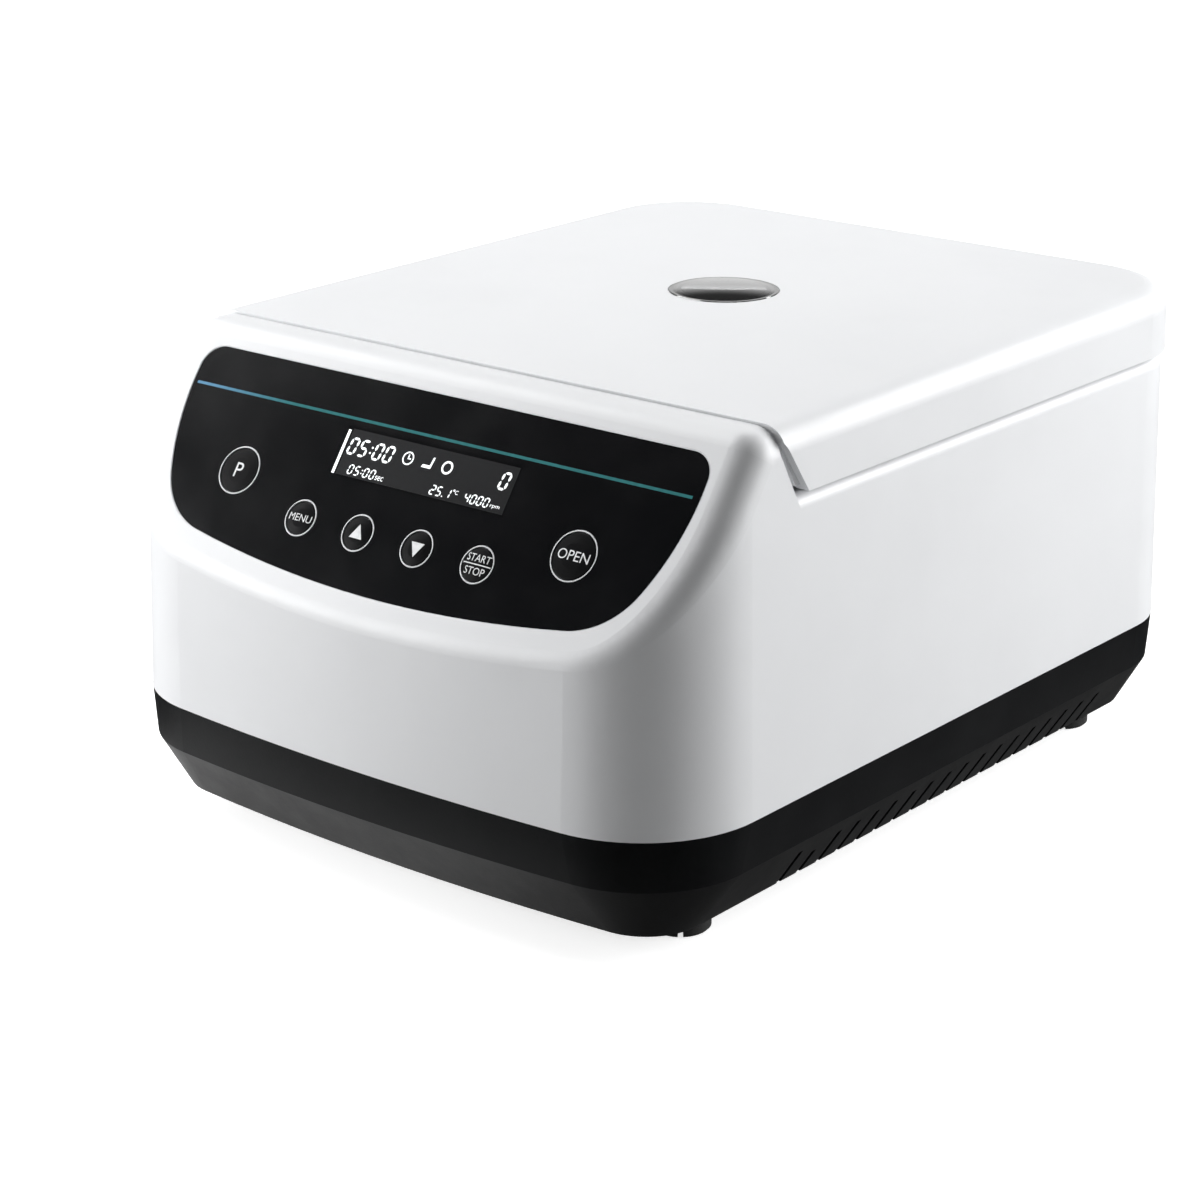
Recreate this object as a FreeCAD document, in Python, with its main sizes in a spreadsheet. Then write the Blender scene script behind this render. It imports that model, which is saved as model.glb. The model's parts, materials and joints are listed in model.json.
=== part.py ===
import FreeCAD, Part
import math
import os

import Sketcher
from FreeCAD import Placement, Rotation, Vector

# Bench cytocentrifuge: a white moulded cabinet on a black tray, a hinged lid with a
# sight glass, and a direct-drive rotor with four swing-out slide carriers.
# Frame: X to the operator's right, Y to the rear, Z up. The origin is on the bench,
# under the middle of the cabinet. Lengths are millimetres, angles degrees.

SIZES = {
    # cabinet outline
    "half_width": 145.0,            # at the colour seam, the widest level
    "half_depth": 190.0,
    "front_bow": 9.5,               # the front wall bows out by this much
    "front_corner": 51.7,
    "rear_corner": 47.0,
    "draft_angle": 1.4,             # the walls lean in by this much going up
    "seam_height": 55.2,            # where white meets black
    "wall": 3.0,
    "deck_height": 171.0,
    "deck_skin": 3.0,
    "deck_edge_round": 5.0,
    # brow, the raised front that carries the control panel
    "brow_height": 197.6,
    "brow_depth": 73.0,             # from the cabinet's front line to its rear face
    "brow_step_drop": 9.6,
    "brow_foot_depth": 82.2,
    "brow_round": 12.0,
    # control panel plane
    "panel_setback": 55.82,         # its upper fascia edge, behind the front line
    "panel_top_drop": 7.99,         # and below the brow
    "panel_tilt": 54.34,
    "panel_skin": 5.0,
    # black tray
    "crease_height": 35.0,
    "crease_inset": 2.5,
    "tray_bottom": 12.0,
    "tray_inset": 17.6,
    "tray_front_corner": 24.0,
    "tray_rear_corner": 17.0,
    "lip_height": 4.0,
    "lip_wall": 1.6,
    "lip_gap": 0.3,
    "vent_count": 18,
    "vent_pitch": 12.84,
    "vent_width": 2.8,
    "vent_row_middle": 16.64,
    "vent_top_drop": 7.4,           # below the crease
    "vent_short_drop": 12.1,
    # feet
    "foot_radius": 12.0,
    "foot_side_margin": 39.0,
    "foot_front_margin": 64.5,
    "foot_rear_margin": 40.0,
    "foot_boss_radius": 5.0,
    "foot_boss_height": 11.0,
    "foot_slot": 2.2,
    "foot_slot_turn": 39.0,
    # fascia, keys and display
    "fascia_side_margin": 17.93,
    "fascia_widest": 14.36,         # how far below its top edge it is widest
    "fascia_side_radius": 101.4,
    "fascia_height": 83.1,
    "fascia_smile_radius": 554.5,
    "fascia_top_corner": 10.3,
    "fascia_low_corner": 34.0,
    "fascia_thickness": 1.5,
    "fascia_sink": 0.3,
    "fascia_gap": 0.25,
    "key_round_radius": 10.05,
    "key_small_radius": 7.6,
    "key_outer_x": 84.3,
    "key_middle_x": 44.6,
    "key_inner_x": 14.9,
    "key_outer_drop": 47.9,
    "key_inner_drop": 60.0,
    "ring_width": 0.55,
    "ring_proud": 0.15,
    "key_gap": 0.3,
    "key_travel": 0.8,
    "key_collar": 1.2,
    "key_stem_radius": 2.5,
    "key_stem_end": 9.0,
    "key_dome": 0.35,
    "window_left": 39.5,
    "window_right": 47.0,
    "window_top": 20.0,
    "window_height": 20.5,
    "window_corner": 1.2,
    "module_margin": 2.0,
    "board_depth": 14.0,
    "board_thickness": 1.6,
    "board_side_margin": 27.07,
    "board_top": 12.0,
    "board_height": 60.0,
    "board_post_radius": 3.5,
    "switch_half": 3.0,
    "switch_plunger_radius": 1.6,
    "switch_plunger_gap": 0.2,
    # chamber
    "axis_depth": 228.0,            # the rotor axis, behind the front line
    "bowl_radius": 112.0,
    "bowl_floor_radius": 110.5,
    "bowl_sheet": 1.0,
    "bowl_floor": 82.0,
    "bowl_flange": 125.0,
    "bowl_corner": 14.0,
    "bowl_hole": 22.0,
    "gasket_inner": 113.0,
    "gasket_outer": 117.0,
    "gasket_height": 3.2,
    "bowl_screw_reach": 121.0,
    "deck_boss_radius": 5.0,
    "clearance": 0.3,
    # drive
    "motor_radius": 45.0,
    "motor_bottom": 18.0,
    "motor_top": 71.0,
    "motor_nose": 15.5,
    "motor_nose_top": 88.0,
    "mount_plate_thickness": 3.0,
    "mount_plate_half": 72.0,
    "mount_plate_corner": 14.0,
    "plate_window_radius": 9.0,
    "damper_spread": 58.0,
    "damper_radius": 10.0,
    "damper_height": 20.0,
    "damper_waist": 2.5,
    "damper_stud_radius": 3.0,
    "shaft_radius": 6.0,
    "running_gap": 0.05,
    "shaft_bottom": 50.0,
    "shaft_step": 112.0,
    "shaft_top": 160.0,
    "thread_radius": 4.0,
    "thread_start": 152.0,
    # rotor
    "hub_radius": 17.0,
    "hub_bottom": 118.0,
    "hub_top": 154.0,
    "arm_bottom": 141.0,
    "arm_top": 158.0,
    "arm_half_width": 8.0,
    "pivot_radius": 56.0,
    "pivot_height": 150.0,
    "prong_face": 31.0,
    "prong_thickness": 6.0,
    "prong_reach": 64.0,
    "pin_radius": 3.0,
    "pin_inner": 26.0,
    "nut_radius": 13.5,
    "nut_height": 10.5,
    "nut_flutes": 16,
    "flute_radius": 1.8,
    # slide carriers
    "swing_length": 41.0,           # pivot to the underside of the slide tray
    "carrier_half_length": 39.5,
    "carrier_half_width": 15.0,
    "carrier_sheet": 1.5,
    "carrier_wall_height": 12.0,
    "ear_inner": 27.6,
    "ear_thickness": 2.9,
    "ear_eye_radius": 6.5,
    "slide_half_length": 38.0,
    "slide_half_width": 13.0,
    "slide_thickness": 1.0,
    "card_thickness": 0.5,
    "card_hole": 3.5,
    "chamber_half_length": 26.0,
    "chamber_half_width": 12.6,
    "chamber_flange": 3.0,
    "funnel_radius": 9.0,
    "funnel_bore": 7.0,
    "funnel_throat": 3.2,
    "funnel_height": 35.5,
    # lid
    "lid_gap": 1.3,                 # above the deck
    "lid_proud": 1.5,               # how far its sides stand out past the cabinet's
    "lid_above_brow": 0.8,
    "lid_rise": 1.4,                # from its front to its rear
    "lid_round": 10.0,
    "lid_wall": 2.8,
    "lid_seam": 0.8,                # gap behind the brow
    "lid_slant_drop": 5.7,
    "lid_slant_depth": 88.0,
    "lid_lip": 3.5,                 # front lip, standing ahead of the side skins
    "lid_lip_inset": 3.0,
    "liner_above_deck": 3.5,
    "liner_sheet": 2.5,
    "liner_dish_radius": 105.0,
    "liner_dish_rise": 6.5,
    "lid_boss_radius": 4.5,
    "glass_radius": 23.0,
    "glass_opening": 19.5,
    "glass_flange": 1.3,
    "glass_crown": 2.6,
    "glass_seat_drop": 0.4,
    "glass_shoulder": 1.6,
    "glass_bevel": 0.3,
    "tube_collar": 3.0,
    "tube_wall": 1.6,
    # hinges
    "hinge_side_margin": 65.0,
    "hinge_half_length": 22.0,
    "hinge_rear_margin": 3.0,
    "hinge_above_deck": 1.0,
    "hinge_relief": 0.4,
    "knuckle_radius": 3.0,
    "knuckle_split": 9.0,           # half length of the lid's knuckle
    "hinge_pin_radius": 1.5,
    "leaf_thickness": 1.2,
    "leaf_reach": 22.0,
    "lid_leaf_reach": 18.0,
    # latch
    "striker_depth": 95.0,          # its front face, behind the front line
    "striker_sheet": 2.0,
    "striker_half_width": 8.0,
    "striker_bottom": 148.0,
    "striker_bar": 4.0,
    "latch_slot_half": 10.0,
    "latch_pivot_depth": 85.0,
    "latch_pivot_height": 138.0,
    "latch_pin_radius": 2.0,
    "latch_frame_half": 9.0,
    "latch_sheet": 1.5,
    "latch_frame_reach": 19.0,
    "latch_floor_drop": 9.5,
    "hook_half_thickness": 2.0,
    "hook_arm": 20.0,
    "hook_nose": 6.7,
    "hook_tail": 15.0,
    "plunger_offset": 12.0,
    "plunger_radius": 4.0,
    "plunger_tip": 1.5,
    "solenoid_radius": 11.0,
    "solenoid_length": 30.0,
    # screws
    "screw_head": 3.6,
    "screw_head_height": 2.4,
    "screw_shank": 1.9,
    "screw_length": 12.0,
    "screw_hole": 2.1,
    "pillar_radius": 6.0,
    "pillar_boss_height": 18.0,
    "pillar_side_margin": 27.0,
    "pillar_front_margin": 86.0,
    "pillar_rear_margin": 68.0,
    "head_gap": 0.6,                # round a screw's head in its well
    # rear connector panel
    "rear_panel_side_margin": 51.0,
    "rear_panel_width": 76.0,
    "rear_panel_above_seam": 10.8,
    "rear_panel_height": 38.0,
    "rear_panel_depth": 4.2,        # its floor, in from the rear
    "inlet_from_right": 23.0,
    "inlet_flange_half_width": 15.0,
    "inlet_flange_half_height": 12.0,
    "inlet_body_half_width": 13.5,
    "inlet_body_half_height": 9.8,
    "inlet_depth": 27.8,
    "inlet_wall": 2.0,
    "socket_depth": 14.0,
    "blade_width": 2.0,
    "blade_height": 4.0,
    "blade_spread": 7.0,
    "rocker_from_left": 18.0,
    "switch_flange_half_width": 7.8,
    "switch_flange_half_height": 11.0,
    "switch_body_half_width": 6.4,
    "switch_body_half_height": 9.5,
    "switch_depth": 15.0,
    "switch_wall": 1.4,
    "rocker_half_width": 4.65,
    "rocker_half_height": 6.4,
    "rocker_sink": 1.8,
    "rocker_rest": 8.0,             # degrees that it lies tipped
    "axle_radius": 1.0,
    # circuit board in the tray
    "drive_board_half": 75.0,
    "drive_board_front_margin": 40.0,
    "drive_board_depth": 62.0,
    "drive_board_height": 24.0,
    "drive_post_radius": 4.0,
    "capacitor_radius": 7.0,
    "capacitor_height": 18.0,
    "sink_width": 48.0,
    "sink_depth": 40.0,
    "sink_base": 4.0,
    "sink_height": 24.0,
    "sink_fins": 7,
    "sink_fin": 2.0,
}

# Places that follow from the sizes above; a change of the cabinet carries them along.
FOLLOWS = {
    "brow_rear": "half_depth - brow_depth",
    "brow_foot": "half_depth - brow_foot_depth",
    "brow_step_height": "brow_height - brow_step_drop",
    "panel_top_front": "half_depth - panel_setback",
    "panel_top_height": "brow_height - panel_top_drop",
    "vent_first": "vent_row_middle - vent_pitch * (vent_count - 1) / 2",
    "vent_top": "crease_height - vent_top_drop",
    "vent_short_top": "crease_height - vent_short_drop",
    "foot_x": "half_width - foot_side_margin",
    "foot_front": "half_depth - foot_front_margin",
    "foot_rear": "half_depth - foot_rear_margin",
    "fascia_half_width": "half_width - fascia_side_margin",
    "board_half_width": "half_width - fascia_side_margin - board_side_margin",
    "axis_rear": "axis_depth - half_depth",
    "lid_bottom": "deck_height + lid_gap",
    "lid_front_height": "brow_height + lid_above_brow",
    "lid_rear_height": "brow_height + lid_above_brow + lid_rise",
    "lid_slant_top": "brow_height + lid_above_brow - lid_slant_drop",
    "lid_slant_foot": "half_depth - lid_slant_depth",
    "liner_bottom": "deck_height + liner_above_deck",
    "glass_seat": "brow_height + lid_above_brow - glass_seat_drop",
    "hinge_x": "half_width - hinge_side_margin",
    "hinge_rear": "half_depth - hinge_rear_margin",
    "hinge_height": "deck_height + hinge_above_deck",
    "striker_front": "half_depth - striker_depth",
    "latch_pivot_front": "half_depth - latch_pivot_depth",
    "pillar_x": "half_width - pillar_side_margin",
    "pillar_front": "half_depth - pillar_front_margin",
    "pillar_rear": "half_depth - pillar_rear_margin",
    "rear_panel_right": "half_width - rear_panel_side_margin",
    "rear_panel_left": "half_width - rear_panel_side_margin - rear_panel_width",
    "rear_panel_low": "seam_height + rear_panel_above_seam",
    "rear_panel_high": "seam_height + rear_panel_above_seam + rear_panel_height",
    "rear_panel_face": "half_depth - rear_panel_depth",
    "inlet_x": "half_width - rear_panel_side_margin - inlet_from_right",
    "inlet_height": "seam_height + rear_panel_above_seam + rear_panel_height / 2",
    "rocker_x": "half_width - rear_panel_side_margin - rear_panel_width + rocker_from_left",
    "drive_board_front": "half_depth - drive_board_front_margin",
    "drive_board_rear": "half_depth - drive_board_front_margin - drive_board_depth",
}

document = FreeCAD.newDocument("cytocentrifuge")
sheet = document.addObject("Spreadsheet::Sheet", "Sizes")
cells = {size_name: str(size_value) for size_name, size_value in SIZES.items()}
cells.update({size_name: f"={formula}" for size_name, formula in FOLLOWS.items()})
for row, (size_name, content) in enumerate(cells.items(), start=1):
    sheet.set(f"A{row}", size_name)
    sheet.set(f"B{row}", content)
    sheet.setAlias(f"B{row}", size_name)
document.recompute()


class Size:
    """A length from the sheet: its value now and the formula that keeps it bound."""

    def __init__(self, value, formula=None):
        self.value = float(value)
        self.formula = formula or repr(float(value))

    def __float__(self):
        return self.value

    def __add__(self, other):
        other = as_size(other)
        return Size(self.value + other.value, f"({self.formula} + {other.formula})")

    def __sub__(self, other):
        other = as_size(other)
        return Size(self.value - other.value, f"({self.formula} - {other.formula})")

    def __mul__(self, other):
        other = as_size(other)
        return Size(self.value * other.value, f"({self.formula} * {other.formula})")

    def __truediv__(self, other):
        other = as_size(other)
        return Size(self.value / other.value, f"({self.formula} / {other.formula})")

    def __radd__(self, other):
        return as_size(other) + self

    def __rsub__(self, other):
        return as_size(other) - self

    def __rmul__(self, other):
        return as_size(other) * self

    def __neg__(self):
        return as_size(0) - self


def as_size(value):
    return value if isinstance(value, Size) else Size(value)


def sine(angle):
    return Size(math.sin(math.radians(float(angle))), f"sin({angle.formula} * 1deg)")


def cosine(angle):
    return Size(math.cos(math.radians(float(angle))), f"cos({angle.formula} * 1deg)")


def tangent(angle):
    return Size(math.tan(math.radians(float(angle))), f"tan({angle.formula} * 1deg)")


class Namespace:
    """Plain holder: one attribute for each size."""


size = Namespace()
mm = Namespace()
for size_name in cells:
    setattr(mm, size_name, float(sheet.get(size_name)))
    setattr(size, size_name, Size(getattr(mm, size_name), f"Sizes.{size_name}"))

NODES = []


def node(item, label):
    """Give a sub-part its own name and put it on the list that is written out."""
    item.Label = label
    NODES.append(item)
    return item


def bind(item, prop, value):
    """Set a property and, where the value is a sheet formula, keep it bound."""
    if isinstance(value, Size):
        setattr(item, prop, value.value)
        item.setExpression(prop, value.formula)
    else:
        setattr(item, prop, value)


def place(item, x=0, y=0, z=0, rotation=None):
    """Put an item at a place, each coordinate bound to the sheet where it is a Size."""
    item.Placement = Placement(Vector(float(x), float(y), float(z)), rotation or Rotation())
    for axis, value in zip("xyz", (x, y, z)):
        if isinstance(value, Size):
            item.setExpression(f"Placement.Base.{axis}", value.formula)
    return item


def new_body(name):
    return document.addObject("PartDesign::Body", name)


def new_sketch(body, plane, offset=0, name="Outline"):
    """A sketch on one of the body's own origin planes, moved along the plane's normal."""
    sketch = body.newObject("Sketcher::SketchObject", name)
    planes = [p for p in body.Origin.OriginFeatures if p.Role == plane]
    sketch.AttachmentSupport = (planes[0], [""])
    sketch.MapMode = "FlatFace"
    sketch.AttachmentOffset = Placement(Vector(0, 0, float(offset)), Rotation())
    if isinstance(offset, Size):
        sketch.setExpression("AttachmentOffset.Base.z", offset.formula)
    return sketch


def hold(sketch, geometry, point, x, y):
    """Hold one point of a sketch by its two sizes."""
    for kind, value in (("DistanceX", x), ("DistanceY", y)):
        number = sketch.addConstraint(Sketcher.Constraint(kind, geometry, point, float(value)))
        if isinstance(value, Size):
            sketch.setExpression(f"Constraints[{number}]", value.formula)


def draw_polygon(sketch, corners):
    """A closed outline of straight sides whose corners follow the sheet."""
    points = [Vector(float(x), float(y), 0) for x, y in corners]
    first = sketch.GeometryCount
    count = len(points)
    for i in range(count):
        sketch.addGeometry(Part.LineSegment(points[i], points[(i + 1) % count]), False)
    for i in range(count):
        following = first + (i + 1) % count
        sketch.addConstraint(Sketcher.Constraint("Coincident", first + i, 2, following, 1))
    for i, (x, y) in enumerate(corners):
        hold(sketch, first + i, 1, x, y)


def draw_circle(sketch, x, y, radius):
    """A circle whose centre and radius follow the sheet."""
    centre = Vector(float(x), float(y), 0)
    circle = sketch.addGeometry(Part.Circle(centre, Vector(0, 0, 1), float(radius)), False)
    hold(sketch, circle, 3, x, y)
    number = sketch.addConstraint(Sketcher.Constraint("Radius", circle, float(radius)))
    if isinstance(radius, Size):
        sketch.setExpression(f"Constraints[{number}]", radius.formula)


def draw_curves(sketch, curves):
    """A closed outline of arcs and lines that the code has worked out."""
    for curve in curves:
        sketch.addGeometry(curve, False)
    for i in range(len(curves)):
        sketch.addConstraint(Sketcher.Constraint("Block", i))


def pad(body, sketch, height, name="Pad", down=False):
    feature = body.newObject("PartDesign::Pad", name)
    feature.Profile = sketch
    bind(feature, "Length", height)
    feature.Reversed = down
    return feature


def cut(body, sketch, depth, name="Cut", both=False, up=False):
    """A pocket: against the sketch normal, along it with up, or half each way with both."""
    feature = body.newObject("PartDesign::Pocket", name)
    feature.Profile = sketch
    bind(feature, "Length", depth)
    feature.SideType = "Symmetric" if both else "One side"
    feature.Reversed = up
    return feature


def loft(body, sections, name="Loft"):
    feature = body.newObject("PartDesign::AdditiveLoft", name)
    feature.Profile = sections[0]
    feature.Sections = sections[1:]
    feature.Ruled = True
    return feature


def round_edges(body, radius, wanted, name="Rounded", kind="Fillet"):
    """Round (or chamfer) the edges of the body's last feature that the test accepts."""
    document.recompute()
    base = body.Tip
    edges = [f"Edge{i}" for i, edge in enumerate(base.Shape.Edges, start=1) if wanted(edge)]
    if not edges:
        raise RuntimeError(f"no edge to round on {body.Name}")
    feature = body.newObject(f"PartDesign::{kind}", name)
    feature.Base = (base, edges)
    bind(feature, "Radius" if kind == "Fillet" else "Size", radius)
    return feature


def middle(edge):
    return edge.valueAt((edge.FirstParameter + edge.LastParameter) / 2)


def upright(edge):
    """True for a straight edge along the local Z axis."""
    ends = [vertex.Point for vertex in edge.Vertexes]
    if len(ends) != 2:
        return False
    return (ends[1] - ends[0]).cross(Vector(0, 0, 1)).Length < 1e-6


def turned(name, corners, x=0, y=0, z=0, rotation=None):
    """A lathe-turned piece: the corners are (radius, height) pairs."""
    body = new_body(name)
    sketch = new_sketch(body, "XZ_Plane")
    draw_polygon(sketch, corners)
    feature = body.newObject("PartDesign::Revolution", "Turning")
    feature.Profile = sketch
    feature.ReferenceAxis = (sketch, ["V_Axis"])
    feature.Angle = 360
    place(body, x, y, z, rotation)
    return body


def block(name, low, high, radius=None, place_at=(0, 0, 0), rotation=None):
    """A plate or block between two corners, its upright edges rounded if asked."""
    body = new_body(name)
    sketch = new_sketch(body, "XY_Plane", low[2])
    draw_polygon(sketch, [(low[0], low[1]), (high[0], low[1]), (high[0], high[1]), (low[0], high[1])])
    pad(body, sketch, as_size(high[2]) - low[2])
    if radius is not None:
        round_edges(body, radius, upright)
    place(body, *place_at, rotation)
    return body


def rod(name, radius, length, x=0, y=0, z=0, direction=Vector(0, 0, 1)):
    item = document.addObject("Part::Cylinder", name)
    bind(item, "Radius", radius)
    bind(item, "Height", length)
    return place(item, x, y, z, Rotation(Vector(0, 0, 1), direction))


def box(name, low, high):
    """A box tool between two corners; the sizes may be sheet formulas."""
    item = document.addObject("Part::Box", name)
    for prop, start, end in zip(("Length", "Width", "Height"), low, high):
        bind(item, prop, as_size(end) - start)
    return place(item, *low)


def fuse(name, items):
    item = document.addObject("Part::MultiFuse", name)
    item.Shapes = items
    return item


def subtract(name, base, tool):
    item = document.addObject("Part::Cut", name)
    item.Base = base
    item.Tool = tool
    return item


def gather(name, items):
    """Identical pieces kept as separate solids of one sub-part."""
    item = document.addObject("Part::Compound", name)
    item.Links = items
    return item


# ---------------------------------------------------------------- cabinet outline

def arc(x, y, radius, start, end):
    """Counter-clockwise arc, angles in radians."""
    return Part.ArcOfCircle(Part.Circle(Vector(x, y, 0), Vector(0, 0, 1), radius), start, end)


def line(x1, y1, x2, y2):
    return Part.LineSegment(Vector(x1, y1, 0), Vector(x2, y2, 0))


def plan_outline(inset, front_corner, rear_corner):
    """Plan of the cabinet drawn in by an inset: bowed front, round corners, straight sides."""
    half = mm.half_width - inset
    bow_radius = (mm.half_width ** 2 + mm.front_bow ** 2) / (2 * mm.front_bow)
    bow_y = bow_radius - mm.half_depth
    front = bow_radius - inset
    corner_x = half - front_corner
    corner_y = bow_y - math.sqrt((front - front_corner) ** 2 - corner_x ** 2)
    turn = math.atan2(corner_y - bow_y, corner_x)
    rear = mm.half_depth - inset
    rear_x = half - rear_corner
    rear_y = rear - rear_corner
    return [
        arc(-corner_x, corner_y, front_corner, math.pi, math.pi - turn),
        arc(0, bow_y, front, math.pi - turn, 2 * math.pi + turn),
        arc(corner_x, corner_y, front_corner, turn, 0),
        line(half, corner_y, half, rear_y),
        arc(rear_x, rear_y, rear_corner, 0, math.pi / 2),
        line(rear_x, rear, -rear_x, rear),
        arc(-rear_x, rear_y, rear_corner, math.pi / 2, math.pi),
        line(-half, rear_y, -half, corner_y),
    ]


def lean(level):
    """How far the drafted walls have come in at a level above the colour seam."""
    return (float(level) - mm.seam_height) * math.tan(math.radians(mm.draft_angle))


def wall_section(body, level, skin=0.0):
    """Sketch of the drafted wall's outline at a level, a skin's thickness inside it."""
    sketch = new_sketch(body, "XY_Plane", level)
    inset = skin + lean(level)
    draw_curves(sketch, plan_outline(inset, mm.front_corner - inset, mm.rear_corner - inset))
    return sketch


tilt_sine = sine(size.panel_tilt)
tilt_cosine = cosine(size.panel_tilt)


def panel_point(level, drop):
    """Where the control panel's plane, sunk by a drop, crosses a level: its y."""
    run = (size.panel_top_height - drop * tilt_cosine - level) / tilt_sine
    return drop * tilt_sine - size.panel_top_front - run * tilt_cosine


def space_above(body, crown, rear, step, foot, deck, drop):
    """Cut away what lies above the panel plane, the brow and the deck."""
    low = size.seam_height + 25
    front_limit = -(size.half_depth + 40)
    rear_limit = size.half_depth + 20
    high = size.brow_height + 20
    sketch = new_sketch(body, "YZ_Plane", name="Side")
    draw_polygon(sketch, [
        (panel_point(low, drop), low), (panel_point(crown, drop), crown),
        (-rear, crown), (-rear, step), (-foot, deck),
        (rear_limit, deck), (rear_limit, high), (front_limit, high), (front_limit, low),
    ])
    cut(body, sketch, size.half_width * 4, both=True)


def on_panel(point, drop):
    """True for a point on the panel's plane sunk by a drop."""
    tilt = math.radians(mm.panel_tilt)
    back = point.y + mm.panel_top_front
    up = point.z - mm.panel_top_height
    return abs(-math.sin(tilt) * back + math.cos(tilt) * up + drop) < 1e-3


def brow_edge(crown, drop):
    """Picks the edges round the panel's plane and the brow's two side edges."""
    def wanted(edge):
        ends = [edge.valueAt(edge.FirstParameter), middle(edge), edge.valueAt(edge.LastParameter)]
        if all(on_panel(point, drop) for point in ends):
            return True
        at = ends[1]
        return abs(at.z - float(crown)) < 1e-3 and abs(at.x) > mm.half_width * 0.8
    return wanted


def deck_edge(edge):
    """Picks the deck's outer edges, beside and behind the chamber."""
    at = middle(edge)
    return abs(at.z - mm.deck_height) < 1e-3 and (abs(at.x) > mm.half_width * 0.7
                                                  or at.y > mm.half_depth * 0.9)


def housing_outside():
    body = new_body("HousingOutside")
    loft(body, [wall_section(body, size.seam_height), wall_section(body, size.brow_height + 4)])
    space_above(body, size.brow_height, size.brow_rear, size.brow_step_height, size.brow_foot,
                size.deck_height, as_size(0))
    round_edges(body, size.brow_round, brow_edge(size.brow_height, 0.0), "BrowRound")
    round_edges(body, size.deck_edge_round, deck_edge, "DeckRound")
    return body


def housing_inside():
    body = new_body("HousingInside")
    skin = mm.wall
    crown = size.brow_step_height - size.wall
    loft(body, [wall_section(body, size.seam_height - 1, skin),
                wall_section(body, size.brow_height + 4, skin)])
    space_above(body, crown, size.brow_rear + size.wall, crown - 1, size.brow_foot + size.wall,
                size.deck_height - size.deck_skin, size.panel_skin)
    round_edges(body, size.brow_round - size.wall, brow_edge(crown, mm.panel_skin), "BrowRound")
    return body


housing_shell = subtract("HousingShell", housing_outside(), housing_inside())


# ---------------------------------------------------------------- control panel parts

# Panel frame: X to the right, Y up along the panel from the fascia's top edge,
# Z out of the panel. Depths behind the panel are negative Z.
panel_turn = Rotation(Vector(1, 0, 0), mm.panel_tilt)

KEYS = {                            # name: (x, distance below the fascia's top edge, radius)
    "program_key": (-size.key_outer_x, size.key_outer_drop, size.key_round_radius),
    "menu_key": (-size.key_middle_x, size.key_inner_drop, size.key_small_radius),
    "up_key": (-size.key_inner_x, size.key_inner_drop, size.key_small_radius),
    "down_key": (size.key_inner_x, size.key_inner_drop, size.key_small_radius),
    "start_stop_key": (size.key_middle_x, size.key_inner_drop, size.key_small_radius),
    "open_key": (size.key_outer_x, size.key_outer_drop, size.key_round_radius),
}


def on_panel_frame(item):
    """Stand an item that was drawn in the panel frame on the control panel."""
    return place(item, 0, -size.panel_top_front, size.panel_top_height, panel_turn)


def fascia_outline(margin):
    """Fascia with sharp corners: straight top, bowed sides, smiling lower edge."""
    side = mm.fascia_side_radius + margin
    side_x = mm.fascia_half_width - mm.fascia_side_radius
    smile = mm.fascia_smile_radius + margin
    smile_y = mm.fascia_smile_radius - mm.fascia_height
    side_y = -mm.fascia_widest
    top_x = side_x + math.sqrt(side ** 2 - (margin - side_y) ** 2)
    rise = smile_y - side_y
    gap = math.hypot(side_x, rise)
    along = (side ** 2 - smile ** 2 + gap ** 2) / (2 * gap)
    across = math.sqrt(side ** 2 - along ** 2)
    low_x = side_x - along * side_x / gap + across * rise / gap
    low_y = side_y + along * rise / gap + across * side_x / gap
    if low_y > side_y:
        low_x = side_x - along * side_x / gap - across * rise / gap
        low_y = side_y + along * rise / gap - across * side_x / gap
        low_x = abs(low_x)
    top_turn = math.atan2(margin - side_y, top_x - side_x)
    low_turn = math.atan2(low_y - side_y, low_x - side_x)
    smile_turn = math.atan2(low_y - smile_y, low_x)
    return [
        line(top_x, margin, -top_x, margin),
        arc(-side_x, side_y, side, math.pi - top_turn, math.pi - low_turn),
        arc(0, smile_y, smile, -math.pi - smile_turn, smile_turn),
        arc(side_x, side_y, side, low_turn, top_turn),
    ]


def fascia_plate(name, margin, front, back):
    """The fascia's shape between two depths, its four corners rounded."""
    body = new_body(name)
    sketch = new_sketch(body, "XY_Plane", back)
    draw_curves(sketch, fascia_outline(margin))
    pad(body, sketch, front - back)
    round_edges(body, size.fascia_top_corner + margin,
                lambda edge: upright(edge) and middle(edge).y > -1 - mm.fascia_widest, "TopCorners")
    round_edges(body, size.fascia_low_corner + margin,
                lambda edge: upright(edge) and middle(edge).y < -mm.fascia_height / 2
                and abs(middle(edge).x) > 1, "LowCorners")
    return body


recess_back = -(size.fascia_sink + size.fascia_thickness)


def panel_tools(name, extra, front, back, window_margin):
    """Key holes and display opening through a depth of the panel, each with a margin."""
    tools = []
    for key, (x, down, radius) in KEYS.items():
        tools.append(rod(f"{name}_{key}", radius + extra, front - back, x, -down, back))
    tools.append(box(f"{name}_window",
                     (-size.window_left - window_margin,
                      -(size.window_top + size.window_height + window_margin), back),
                     (size.window_right + window_margin,
                      -(size.window_top - window_margin), front)))
    return fuse(name, tools)


def control_fascia():
    plate = fascia_plate("FasciaPlate", 0, -size.fascia_sink, recess_back)
    holes = panel_tools("FasciaHoles", size.running_gap, as_size(1), recess_back - 1, size.running_gap)
    return on_panel_frame(node(subtract("Fascia", plate, holes), "control_fascia"))


def display_window():
    plate = block("Window", (-size.window_left, -(size.window_top + size.window_height), recess_back),
                  (size.window_right, -size.window_top, -size.fascia_sink), size.window_corner)
    return on_panel_frame(node(plate, "display_window"))


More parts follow.
